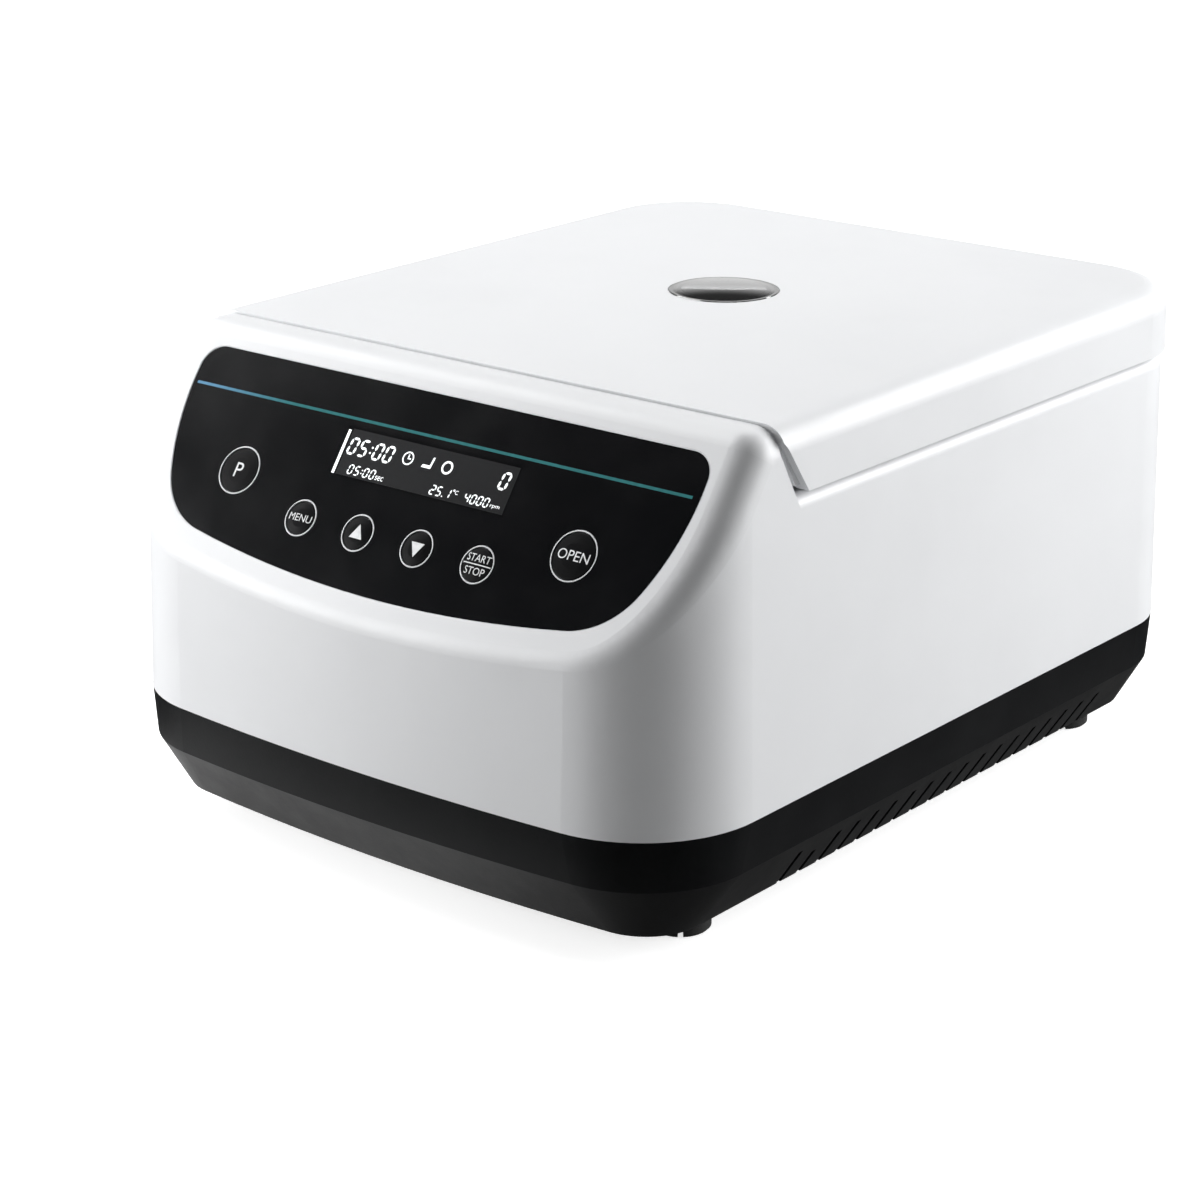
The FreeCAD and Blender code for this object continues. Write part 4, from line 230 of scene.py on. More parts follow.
FLOOR_REACH = 6.0
floor_mesh = bpy.data.meshes.new("studio_floor")
floor_corners = [(x * FLOOR_REACH, y * FLOOR_REACH, 0) for x, y in ((-1, -1), (1, -1), (1, 1), (-1, 1))]
floor_mesh.from_pydata(floor_corners, [], [(0, 1, 2, 3)])
floor = link_object("studio_floor", floor_mesh)
print("floor:", 2 * FLOOR_REACH, "m wide")

# %% [markdown]
# ## The floor's paper
# The paper is one material in two layers: a matt sheet that takes the light and the shadow, and a
# glow over it. How far a point lies from the object decides how much it glows. A second object for
# the bright strip and a third for the horizon would do too, but their edges would show.

# %% Floor paper
HALF_WIDTH, HALF_DEPTH = [(cad_box[1][axis] - cad_box[0][axis]) / 2 for axis in (0, 1)]
# the paper's own grey, and how much lighter the camera sees it
PAPER_TONE, PAPER_TONE_SEEN = 0.38, 0.42
# the mirrored sheet fades away from the object and to the right: from where to where, in metres,
# and its share at both ends
SHEET_FADE = (0.005, 0.07, 1.0, 0.03)
SHEET_LEFT_FADE = (0.0, HALF_WIDTH, 1.0, 0.13)
SHEET_GLOW = 0.45
# the glow that the camera sees grows away from the object, between two distances and two levels
HORIZON_FADE = (0.3, 1.5, 0.74, 1.0)

floor_finish = bpy.data.materials.new("floor_paper")
floor_finish.use_nodes = True
tree = floor_finish.node_tree
tree.nodes.clear()
place = tree.nodes.new("ShaderNodeSeparateXYZ")
link(tree, tree.nodes.new("ShaderNodeNewGeometry").outputs["Position"], place.inputs[0])
beside = math_node(tree, "SUBTRACT", math_node(tree, "ABSOLUTE", place.outputs["X"]), HALF_WIDTH)
beyond = math_node(tree, "SUBTRACT", math_node(tree, "ABSOLUTE", place.outputs["Y"]), HALF_DEPTH)
away = math_node(tree, "MAXIMUM", beside, beyond)
rays = tree.nodes.new("ShaderNodeLightPath")
mirrored = math_node(tree, "ADD", rays.outputs["Is Glossy Ray"], rays.outputs["Is Transmission Ray"])
sheet = math_node(tree, "MULTIPLY", spread(tree, away, *SHEET_FADE),
                  spread(tree, place.outputs["X"], *SHEET_LEFT_FADE))
shade = math_node(tree, "MULTIPLY", mirrored, sheet)
tone = math_node(tree, "MULTIPLY_ADD", rays.outputs["Is Camera Ray"], PAPER_TONE_SEEN, PAPER_TONE)
hidden = math_node(tree, "SUBTRACT", mirrored, shade)
tone = math_node(tree, "MULTIPLY", tone, math_node(tree, "SUBTRACT", 1.0, hidden))
grey = tree.nodes.new("ShaderNodeCombineXYZ")
for socket in grey.inputs:
    link(tree, tone, socket)
paper = tree.nodes.new("ShaderNodeBsdfDiffuse")
link(tree, grey.outputs[0], paper.inputs["Color"])
glow = tree.nodes.new("ShaderNodeEmission")
glow.inputs["Color"].default_value = WHITE
horizon = spread(tree, away, *HORIZON_FADE, smooth=False)
seen = math_node(tree, "MULTIPLY", rays.outputs["Is Camera Ray"], horizon)
sheet_glow = math_node(tree, "MULTIPLY", shade, SHEET_GLOW)
link(tree, math_node(tree, "ADD", seen, sheet_glow), glow.inputs["Strength"])
both = tree.nodes.new("ShaderNodeAddShader")
link(tree, paper.outputs[0], both.inputs[0])
link(tree, glow.outputs[0], both.inputs[1])
link(tree, both.outputs[0], tree.nodes.new("ShaderNodeOutputMaterial").inputs[0])
floor_mesh.materials.append(floor_finish)
print("floor paper:", floor_finish.name)

# %% [markdown]
# ## Shared surface effects
# Most of the pieces are moulded or brushed. Each effect is a node group with named inputs, built
# once and given other values in each material. A group hands out colours, a roughness and a
# height, and the shader itself stays in the material so that its finish can be exported. Where a
# noise blends two values, a pair of edges says over which stretch of the noise the blend runs.

# %% Group helpers
def new_group(name, sockets_in, sockets_out):
    """A shader group; each socket is (name, kind, value)."""
    group = bpy.data.node_groups.new(name, "ShaderNodeTree")
    for title, kind, value in sockets_in:
        item = group.interface.new_socket(name=title, in_out="INPUT", socket_type=kind)
        if value is not None:
            item.default_value = value
    for title, kind in sockets_out:
        group.interface.new_socket(name=title, in_out="OUTPUT", socket_type=kind)
    return group, group.nodes.new("NodeGroupInput"), group.nodes.new("NodeGroupOutput")


def noise(tree, vector, scale, detail=2.0, roughness=0.5):
    item = tree.nodes.new("ShaderNodeTexNoise")
    link(tree, vector, item.inputs["Vector"])
    for name, value in (("Scale", scale), ("Detail", detail), ("Roughness", roughness)):
        feed(tree, item.inputs[name], value)
    return item.outputs["Fac"]


FIRST_COLOUR, SECOND_COLOUR, MIXED_COLOUR = 6, 7, 2


def blend_colours(tree, share, first, second):
    """A Mix node set to colours, which keeps its colour sockets at these places."""
    item = tree.nodes.new("ShaderNodeMix")
    item.data_type = "RGBA"
    link(tree, share, item.inputs[0])
    feed(tree, item.inputs[FIRST_COLOUR], first)
    feed(tree, item.inputs[SECOND_COLOUR], second)
    return item.outputs[MIXED_COLOUR]


FLOAT, COLOUR, VECTOR = "NodeSocketFloat", "NodeSocketColor", "NodeSocketVector"
print("group helpers: new_group, noise, blend_colours")

# %% [markdown]
# ## Moulded plastic
# Injection-moulded plastic has a fine etched grain, a shine that is never quite even and a colour
# that fades a little in patches. One painted picture could hold all three, but three noises of
# different sizes on the object's own coordinates need no map and stay sharp close up.

# %% Moulded plastic group
moulded, moulded_in, moulded_out = new_group(
    "moulded_skin",
    [("Colour", COLOUR, (0.8, 0.8, 0.8, 1)), ("Faded Colour", COLOUR, (0.75, 0.75, 0.75, 1)),
     ("Grain Size", FLOAT, 1400.0), ("Mottle Size", FLOAT, 9.0),
     ("Smooth", FLOAT, 0.3), ("Rough", FLOAT, 0.4)],
    [("Colour", COLOUR), ("Roughness", FLOAT), ("Height", FLOAT)])
HANDLING_SIZE = 34.0
PATCH_EDGES = (0.35, 0.7)
place = moulded.nodes.new("ShaderNodeTexCoord").outputs["Object"]
mottle = noise(moulded, place, moulded_in.outputs["Mottle Size"], detail=4.0, roughness=0.6)
fine = noise(moulded, place, moulded_in.outputs["Grain Size"], detail=1.0, roughness=0.4)
smear = noise(moulded, place, HANDLING_SIZE, detail=5.0, roughness=0.65)
link(moulded, blend_colours(moulded, spread(moulded, mottle, *PATCH_EDGES, 0.0, 1.0),
                            moulded_in.outputs["Colour"], moulded_in.outputs["Faded Colour"]),
     moulded_out.inputs["Colour"])
link(moulded, spread(moulded, smear, *PATCH_EDGES, moulded_in.outputs["Smooth"],
                     moulded_in.outputs["Rough"]), moulded_out.inputs["Roughness"])
link(moulded, fine, moulded_out.inputs["Height"])
print("group:", moulded.name)

# %% [markdown]
# ## Brushed metal
# Rolled and brushed sheet carries fine scratches in one direction. Stretching the coordinates
# before one noise reads them draws those scratches, which is simpler than adding up waves.

# %% Brushed metal group
brushed, brushed_in, brushed_out = new_group(
    "brushed_metal",
    [("Light Colour", COLOUR, (0.7, 0.7, 0.7, 1)), ("Dark Colour", COLOUR, (0.55, 0.55, 0.56, 1)),
     ("Stretch", VECTOR, (60.0, 1500.0, 1500.0)), ("Smooth", FLOAT, 0.22), ("Rough", FLOAT, 0.4)],
    [("Colour", COLOUR), ("Roughness", FLOAT), ("Height", FLOAT)])
CLOUD_SIZE = 22.0
STREAK_EDGES, CLOUD_EDGES = (0.3, 0.7), (0.3, 0.75)
place = brushed.nodes.new("ShaderNodeTexCoord").outputs["Object"]
stretched = brushed.nodes.new("ShaderNodeVectorMath")
stretched.operation = "MULTIPLY"
link(brushed, place, stretched.inputs[0])
link(brushed, brushed_in.outputs["Stretch"], stretched.inputs[1])
streaks = noise(brushed, stretched.outputs[0], 1.0, detail=3.0, roughness=0.55)
clouds = noise(brushed, place, CLOUD_SIZE, detail=4.0, roughness=0.6)
link(brushed, blend_colours(brushed, spread(brushed, streaks, *STREAK_EDGES, 0.0, 1.0),
                            brushed_in.outputs["Light Colour"], brushed_in.outputs["Dark Colour"]),
     brushed_out.inputs["Colour"])
link(brushed, spread(brushed, clouds, *CLOUD_EDGES, brushed_in.outputs["Smooth"],
                     brushed_in.outputs["Rough"]), brushed_out.inputs["Roughness"])
link(brushed, streaks, brushed_out.inputs["Height"])
print("group:", brushed.name)

# %% [markdown]
# ## Spun metal
# The chamber is drawn and polished on a lathe, so its scratches run round its own axis. Object
# coordinates run straight, so the group turns them into a radius and an angle about that axis
# before it reads the noise. A UV map could do the same, but the solid has none.

# %% Spun metal group
spun, spun_in, spun_out = new_group(
    "spun_metal",
    [("Light Colour", COLOUR, (0.7, 0.7, 0.7, 1)), ("Dark Colour", COLOUR, (0.5, 0.5, 0.52, 1)),
     ("Axis Y", FLOAT, 0.038), ("Smooth", FLOAT, 0.18), ("Rough", FLOAT, 0.34)],
    [("Colour", COLOUR), ("Roughness", FLOAT), ("Height", FLOAT)])
SCRATCHES_PER_METRE, SCRATCHES_PER_RADIAN = 1300.0, 1.2
TARNISH_SIZE = 18.0
SCRATCH_EDGES, TARNISH_EDGES = (0.3, 0.7), (0.3, 0.7)
place = spun.nodes.new("ShaderNodeTexCoord").outputs["Object"]
parts_of = spun.nodes.new("ShaderNodeSeparateXYZ")
link(spun, place, parts_of.inputs[0])
across = parts_of.outputs["X"]
along = math_node(spun, "SUBTRACT", parts_of.outputs["Y"], spun_in.outputs["Axis Y"])
radius = math_node(spun, "SQRT", math_node(spun, "ADD", math_node(spun, "MULTIPLY", across, across),
                                           math_node(spun, "MULTIPLY", along, along)))
turn = math_node(spun, "ARCTAN2", along, across)
rolled = spun.nodes.new("ShaderNodeCombineXYZ")
link(spun, math_node(spun, "MULTIPLY", radius, SCRATCHES_PER_METRE), rolled.inputs["X"])
link(spun, math_node(spun, "MULTIPLY", turn, SCRATCHES_PER_RADIAN), rolled.inputs["Y"])
link(spun, math_node(spun, "MULTIPLY", parts_of.outputs["Z"], SCRATCHES_PER_METRE), rolled.inputs["Z"])
rings = noise(spun, rolled.outputs[0], 1.0, detail=2.0, roughness=0.5)
cloudy = noise(spun, place, TARNISH_SIZE, detail=4.0, roughness=0.6)
link(spun, blend_colours(spun, spread(spun, rings, *SCRATCH_EDGES, 0.0, 1.0),
                         spun_in.outputs["Light Colour"], spun_in.outputs["Dark Colour"]),
     spun_out.inputs["Colour"])
link(spun, spread(spun, cloudy, *TARNISH_EDGES, spun_in.outputs["Smooth"], spun_in.outputs["Rough"]),
     spun_out.inputs["Roughness"])
link(spun, rings, spun_out.inputs["Height"])
print("group:", spun.name)

# %% [markdown]
# ## Finishes
# A finish is one Principled shader fed by one of the groups. The values that stay the same all
# over a surface, such as its metalness or its index of refraction, are set on the shader.

# %% Finish maker
def finish(name, group, values, metallic=0.0, bump=0.05, depth=0.0002, **shader):
    """A material: a group's colour, roughness and height into one Principled shader."""
    material = bpy.data.materials.new(name)
    material.use_nodes = True
    tree = material.node_tree
    principled = tree.nodes["Principled BSDF"]
    effect = tree.nodes.new("ShaderNodeGroup")
    effect.node_tree = group
    for key, value in values.items():
        effect.inputs[key].default_value = value
    link(tree, effect.outputs["Colour"], principled.inputs["Base Color"])
    link(tree, effect.outputs["Roughness"], principled.inputs["Roughness"])
    relief = tree.nodes.new("ShaderNodeBump")
    relief.inputs["Strength"].default_value = bump
    relief.inputs["Distance"].default_value = depth
    link(tree, effect.outputs["Height"], relief.inputs["Height"])
    link(tree, relief.outputs[0], principled.inputs["Normal"])
    principled.inputs["Metallic"].default_value = metallic
    for key, value in shader.items():
        principled.inputs[key.replace("_", " ")].default_value = value
    return material


def rgb(r, g, b):
    return (r, g, b, 1.0)


print("a finish takes:", [socket.name for socket in moulded.interface.items_tree if socket.in_out == "INPUT"])

# %% [markdown]
# ## Plastics, rubber and paper
# The cabinet is satin white plastic and the tray charcoal with a coarser grain. The panel is black
# acrylic, smoother than the keys on it. Each finish is one row of values in a table that is looked
# up by the name of its slot, so that a finish can be changed in one place.

# %% Plastic and rubber finishes
finishes = {
    "white_shell": finish("white_abs", moulded, {
        "Colour": rgb(0.86, 0.87, 0.885), "Faded Colour": rgb(0.835, 0.845, 0.86), "Grain Size": 1500.0,
        "Mottle Size": 7.0, "Smooth": 0.36, "Rough": 0.44}, bump=0.06, Specular_IOR_Level=0.45),
    "charcoal_shell": finish("charcoal_abs", moulded, {
        "Colour": rgb(0.0058, 0.0062, 0.0070), "Faded Colour": rgb(0.0072, 0.0077, 0.0086),
        "Grain Size": 1100.0, "Mottle Size": 14.0, "Smooth": 0.34, "Rough": 0.42}, bump=0.12,
        Specular_IOR_Level=0.32),
    "rubber": finish("foot_rubber", moulded, {
        "Colour": rgb(0.018, 0.018, 0.018), "Faded Colour": rgb(0.03, 0.03, 0.03), "Grain Size": 900.0,
        "Mottle Size": 60.0, "Smooth": 0.65, "Rough": 0.85}, bump=0.3),
    "fascia_black": finish("fascia_acrylic", moulded, {
        "Colour": rgb(0.0028, 0.0030, 0.0038), "Faded Colour": rgb(0.0034, 0.0037, 0.0046),
        "Grain Size": 2400.0, "Mottle Size": 6.0, "Smooth": 0.15, "Rough": 0.18}, bump=0.01,
        Specular_IOR_Level=0.4),
    "key_face": finish("key_acrylic", moulded, {
        "Colour": rgb(0.0045, 0.0047, 0.0052), "Faded Colour": rgb(0.006, 0.006, 0.007),
        "Grain Size": 2400.0, "Mottle Size": 40.0, "Smooth": 0.28, "Rough": 0.36}, bump=0.02,
        Specular_IOR_Level=0.06),
    "smoked_window": finish("display_lens", moulded, {
        "Colour": rgb(0.006, 0.0062, 0.0068), "Faded Colour": rgb(0.007, 0.0072, 0.008),
        "Grain Size": 2600.0, "Mottle Size": 12.0, "Smooth": 0.08, "Rough": 0.12}, bump=0.005),
    "dark_plastic": finish("dark_nylon", moulded, {
        "Colour": rgb(0.02, 0.02, 0.022), "Faded Colour": rgb(0.03, 0.03, 0.032), "Grain Size": 1300.0,
        "Mottle Size": 30.0, "Smooth": 0.4, "Rough": 0.55}, bump=0.12),
    "liner_grey": finish("liner_abs", moulded, {
        "Colour": rgb(0.60, 0.61, 0.62), "Faded Colour": rgb(0.55, 0.56, 0.57), "Grain Size": 1200.0,
        "Mottle Size": 8.0, "Smooth": 0.4, "Rough": 0.5}, bump=0.12),
    "circuit_board": finish("solder_mask", moulded, {
        "Colour": rgb(0.012, 0.10, 0.045), "Faded Colour": rgb(0.02, 0.16, 0.07), "Grain Size": 500.0,
        "Mottle Size": 220.0, "Smooth": 0.25, "Rough": 0.4}, bump=0.2),
    "filter_card": finish("filter_paper", moulded, {
        "Colour": rgb(0.82, 0.81, 0.77), "Faded Colour": rgb(0.74, 0.73, 0.68), "Grain Size": 1600.0,
        "Mottle Size": 260.0, "Smooth": 0.85, "Rough": 0.95}, bump=0.5),
    "chamber_plastic": finish("funnel_styrene", moulded, {
        "Colour": rgb(0.72, 0.76, 0.79), "Faded Colour": rgb(0.66, 0.71, 0.75), "Grain Size": 900.0,
        "Mottle Size": 45.0, "Smooth": 0.12, "Rough": 0.22}, bump=0.03, Coat_Weight=0.3),
}
print("plastic finishes:", len(finishes))

# %% [markdown]
# ## Metals
# The motor's plate, the latch and the screws are zinc-plated steel, the hinges, pins and carriers
# stainless, the motor cast aluminium and the rotor turned and anodised. They share the three groups
# and differ in colour, in shine and in the direction of their scratches, so each is only a row of
# values.

# %% Metal finishes
finishes.update({
    "steel": finish("zinc_steel", brushed, {
        "Light Colour": rgb(0.52, 0.53, 0.54), "Dark Colour": rgb(0.38, 0.39, 0.40),
        "Stretch": (900.0, 900.0, 120.0), "Smooth": 0.28, "Rough": 0.45}, metallic=1.0, bump=0.12),
    "stainless": finish("brushed_stainless", brushed, {
        "Light Colour": rgb(0.68, 0.69, 0.70), "Dark Colour": rgb(0.52, 0.53, 0.54),
        "Stretch": (80.0, 1600.0, 1600.0), "Smooth": 0.22, "Rough": 0.36}, metallic=1.0, bump=0.1),
    "cast_aluminium": finish("cast_aluminium", moulded, {
        "Colour": rgb(0.58, 0.59, 0.60), "Faded Colour": rgb(0.45, 0.46, 0.47), "Grain Size": 700.0,
        "Mottle Size": 80.0, "Smooth": 0.4, "Rough": 0.6}, metallic=1.0, bump=0.4),
    "anodised_aluminium": finish("anodised_aluminium", spun, {
        "Light Colour": rgb(0.62, 0.63, 0.65), "Dark Colour": rgb(0.5, 0.51, 0.53), "Smooth": 0.3,
        "Rough": 0.42}, metallic=1.0, bump=0.08),
    "ring_metal": finish("ring_silver", brushed, {
        "Light Colour": rgb(0.62, 0.63, 0.64), "Dark Colour": rgb(0.52, 0.53, 0.54),
        "Stretch": (1500.0, 1500.0, 1500.0), "Smooth": 0.45, "Rough": 0.6}, metallic=0.55, bump=0.03),
})
bowl_finish = finish("spun_stainless", spun, {
    "Light Colour": rgb(0.70, 0.71, 0.72), "Dark Colour": rgb(0.56, 0.57, 0.58), "Smooth": 0.2,
    "Rough": 0.32}, metallic=1.0, bump=0.08)
print("finishes:", len(finishes) + 1)

# %% [markdown]
# ## Clear glass
# The sight glass and the slides are clear. Real glass is never quite clean, so its roughness
# takes a faint smear while its transmission and metalness stay plain numbers. The sight glass has a
# hard coat that mirrors more strongly than bare acrylic.

# %% Glass finish
CLEAR_IOR, COAT_IOR = 1.49, 1.8
SMEAR_SIZE = 60.0
SMEAR_EDGES = (0.45, 0.8)


def clear_glass(name, tint, smear_from, smear_to, coat=0.0):
    """A clear finish whose roughness drifts between two values."""
    material = bpy.data.materials.new(name)
    material.use_nodes = True
    tree = material.node_tree
    principled = tree.nodes["Principled BSDF"]
    principled.inputs["Base Color"].default_value = tint
    principled.inputs["Transmission Weight"].default_value = 1.0
    principled.inputs["IOR"].default_value = CLEAR_IOR
    principled.inputs["Coat Weight"].default_value = coat
    principled.inputs["Coat IOR"].default_value = COAT_IOR
    place = tree.nodes.new("ShaderNodeTexCoord").outputs["Object"]
    smear = noise(tree, place, SMEAR_SIZE, detail=4.0, roughness=0.6)
    link(tree, spread(tree, smear, *SMEAR_EDGES, smear_from, smear_to), principled.inputs["Roughness"])
    return material


finishes["clear_glass"] = clear_glass("slide_glass", rgb(0.96, 0.98, 0.98), 0.01, 0.06)
sight_finish = clear_glass("sight_acrylic", rgb(0.96, 0.97, 0.98), 0.01, 0.05, coat=1.0)
print("glass finishes:", finishes["clear_glass"].name, sight_finish.name)

# %% [markdown]
# ## A finish for every solid
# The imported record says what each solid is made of. Reading that here, instead of listing the
# solids again, keeps the two from drifting apart. Three solids get another finish than their
# slot's: the spun bowl, the coated sight glass and the pale tube under it.

# %% Give every node its finish
slot_of = {entry["node"]: entry["material_slot"] for entry in frame["record"]["subparts"]}
own_finish = {"chamber_bowl": bowl_finish, "sight_glass": sight_finish,
              "sight_tube": finishes["liner_grey"]}
for name, item in nodes.items():
    item.data.materials.clear()
    item.data.materials.append(own_finish.get(name, finishes[slot_of[name]]))
print("finished nodes:", len(nodes))

# %% [markdown]
# ## Working on the sloping panel
# The line, the display and the key legends lie on a plane that leans back. Each is drawn flat, with
# X to the right and Y up the panel from the fascia's upper edge, and is then stood on the
# panel by one matrix. Drawing them in place would need a sloping coordinate for every point.

# %% The panel's plane
MM = 0.001
PANEL_TILT = math.radians(54.34)
FASCIA_UPPER_EDGE = (0, -134.18 * MM, 189.61 * MM)
PANEL = Matrix.Translation(FASCIA_UPPER_EDGE) @ Matrix.Rotation(PANEL_TILT, 4, "X")
FASCIA_FACE = -0.3 * MM
PRINT_DEPTH = 0.05 * MM
print("panel tilt", round(math.degrees(PANEL_TILT), 2))

# %% [markdown]
# ## Making and joining small shapes
# Most of the marks are low blocks, so one function gives a block's points and faces and another
# joins several into one. Blender's own cube operator would do too, but it needs the right object
# selected each time, and every block would be an object before it is joined.

# %% Piece helpers
def make_piece(name, points, faces, material, body, place=None, slot=None):
    """A mesh piece: points in metres, stood on its place, riding on a body."""
    mesh = bpy.data.meshes.new(name)
    mesh.from_pydata(points, [], faces)
    if place is not None:
        mesh.transform(place)
    mesh.update()
    mesh.materials.append(material)
    item = link_object(name, mesh)
    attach(item, body)
    return item


def slab(x0, x1, y0, y1, z0, z1, lean=0.0):
    """Points and faces of a low block; lean shears it to the right going up."""
    points = [(x + lean * (y - y0), y, z) for z in (z0, z1) for x, y in
              ((x0, y0), (x1, y0), (x1, y1), (x0, y1))]
    faces = [(3, 2, 1, 0), (4, 5, 6, 7), (0, 1, 5, 4), (1, 2, 6, 5), (2, 3, 7, 6), (3, 0, 4, 7)]
    return points, faces


def joined(shapes):
    """Several (points, faces) shapes as one."""
    points, faces = [], []
    for more_points, more_faces in shapes:
        start = len(points)
        points += more_points
        faces += [tuple(i + start for i in face) for face in more_faces]
    return points, faces


print("piece helpers: make_piece, slab, joined")

# %% [markdown]
# ## Inks
# The words are silk-screened, the line under the edge is printed from blue to green, and the
# display's marks give light. The printed words and line are given a faint painted glow as well.
# All three are one kind of material that differs in colour, in glow and in whether it blends to a
# second colour, so one function makes them.

# %% Inks
LEFT_BLEND = (-125 * MM, -65 * MM)
INK_PATCH_SIZE, INK_EDGES = 420.0, (0.3, 0.7)
THIN_INK, INK_SHINE = 0.86, 0.2


def ink(name, colour, strength=0.0, roughness=0.5, left_colour=None):
    """Printed or lit marking: its colour varies a little, as silk-screen ink does. With a left
    colour, it blends into that one towards the panel's left end."""
    material = bpy.data.materials.new(name)
    material.use_nodes = True
    tree = material.node_tree
    principled = tree.nodes["Principled BSDF"]
    place = tree.nodes.new("ShaderNodeTexCoord").outputs["Object"]
    patches = noise(tree, place, INK_PATCH_SIZE, detail=3.0, roughness=0.6)
    patchy = spread(tree, patches, *INK_EDGES, 0.0, 1.0)
    thin = tuple(c * THIN_INK for c in colour[:3]) + (1.0,)
    tint = blend_colours(tree, patchy, colour, thin)
    if left_colour:
        split = tree.nodes.new("ShaderNodeSeparateXYZ")
        link(tree, place, split.inputs[0])
        leftward = spread(tree, split.outputs["X"], *LEFT_BLEND, 1.0, 0.0)
        tint = blend_colours(tree, leftward, tint, left_colour)
    link(tree, tint, principled.inputs["Base Color"])
    principled.inputs["Roughness"].default_value = roughness
    principled.inputs["Specular IOR Level"].default_value = INK_SHINE
    if strength:
        link(tree, tint, principled.inputs["Emission Color"])
        principled.inputs["Emission Strength"].default_value = strength
    return material


# the legend ink and the line ink are printed, so their small glow is a painted glow, not real light
white_ink = ink("legend_ink", rgb(0.80, 0.81, 0.82), 0.15)
line_ink = ink("line_ink", rgb(0.010, 0.165, 0.172), 0.1, 0.55, rgb(0.10, 0.26, 0.42))
lit_ink = ink("display_light", rgb(0.92, 0.94, 0.95), 0.9)
print("inks:", white_ink.name, line_ink.name, lit_ink.name)

# %% [markdown]
# ## The line across the fascia
# One thin screen-printed line runs under the upper edge. It is a low slab rather than a painted
# band in the material, because a band would need the material to know where the panel is.

# %% Fascia line
LINE_LEFT, LINE_RIGHT = -124.8 * MM, 123.2 * MM
LINE_DOWN, LINE_HEIGHT = 17.0 * MM, 1.15 * MM
shape = slab(LINE_LEFT, LINE_RIGHT, -LINE_DOWN - LINE_HEIGHT / 2, -LINE_DOWN + LINE_HEIGHT / 2,
             FASCIA_FACE, FASCIA_FACE + PRINT_DEPTH)
make_piece("fascia_line", *shape, line_ink, "cabinet", PANEL, "fascia_black")
print("fascia line: 1 strip")

# %% [markdown]
# ## Rim of the fascia
# The cabinet's lip round the fascia catches the light as a hair-thin line. The outline is read from
# the fascia's own front face, so the rim can't drift from the solid, and a small round
# section is swept along it.

# %% Swept ring
# points of a mesh that are nearer to each other than this, in metres, are one
SAME_POINT = 1e-7


def swept_ring(path, radius, level, sides=8):
    """A closed tube along flat points, as points and faces."""
    points, faces = [], []
    count = len(path)
    for i, here in enumerate(path):
        along = (path[(i + 1) % count] - path[i - 1]).normalized()
        outward = Vector((along.y, -along.x, 0))
        for k in range(sides):
            angle = 2 * math.pi * k / sides
            points.append(here + outward * radius * math.cos(angle)
                          + Vector((0, 0, level + radius * math.sin(angle))))
    for i in range(count):
        following = (i + 1) % count
        for k in range(sides):
            after = (k + 1) % sides
            faces.append((i * sides + k, following * sides + k,
                          following * sides + after, i * sides + after))
    return [tuple(p) for p in points], faces


def facing_out(item):
    """Recalculate a closed mesh's normals so that they point outwards."""
    shape = bmesh.new()
    shape.from_mesh(item.data)
    bmesh.ops.remove_doubles(shape, verts=shape.verts, dist=SAME_POINT)
    bmesh.ops.recalc_face_normals(shape, faces=shape.faces)
    shape.to_mesh(item.data)
    shape.free()
    item.data.update()


print("ring helpers: swept_ring, facing_out")

# %% [markdown]
# ## The path of the rim
# The path is the outermost loop of the points on the fascia's front face. That outline bulges
# outwards all the way round, so a convex hull finds its points and puts them in order in one
# call. Walking along the mesh's edges would work for any outline, but takes much more code.

# %% Fascia rim
FACE_TOLERANCE = 0.05 * MM
RIM_RADIUS = 0.28 * MM
to_panel = PANEL.inverted()
front = [to_panel @ vertex.co for vertex in nodes["control_fascia"].data.vertices]
front = [p for p in front if abs(p.z - FASCIA_FACE) < FACE_TOLERANCE]
hull = geometry.convex_hull_2d([(p.x, p.y) for p in front])
outline = [Vector((front[i].x, front[i].y, 0.0)) for i in hull]
rim_finish = finish("rim_gloss", moulded, {
    "Colour": rgb(0.74, 0.75, 0.77), "Faded Colour": rgb(0.66, 0.67, 0.69), "Grain Size": 2000.0,
    "Mottle Size": 30.0, "Smooth": 0.1, "Rough": 0.2}, bump=0.01)
rim = make_piece("fascia_rim", *swept_ring(outline, RIM_RADIUS, FASCIA_FACE), rim_finish, "cabinet",
                 PANEL, "white_shell")
facing_out(rim)
print("rim points:", len(outline))

# %% [markdown]
# ## Seven-segment digits
# A liquid-crystal display draws each digit from seven bars. That is a rule, so a Geometry Nodes
# tree builds one bar and sets it on every lit place. The places are plain points with a
# turn and a length stored on them, worked out from the digits to show.

# %% Digit places
SEGMENTS = {"0": "abcdef", "1": "bc", "2": "abged", "4": "fgbc", "5": "afgcd"}
BARS = {"a": (0.5, 1.0, 0), "b": (1.0, 0.75, 1), "c": (1.0, 0.25, 1), "d": (0.5, 0.0, 0),
        "e": (0.0, 0.25, 1), "f": (0.0, 0.75, 1), "g": (0.5, 0.5, 0)}
SLANT = 0.16
BAR_SHARE = 0.9
COLON_ROWS, POINT_ROWS = (0.32, 0.68), (0.04,)
DOT_ADVANCE, DOT_SHIFT = 0.38, 0.05


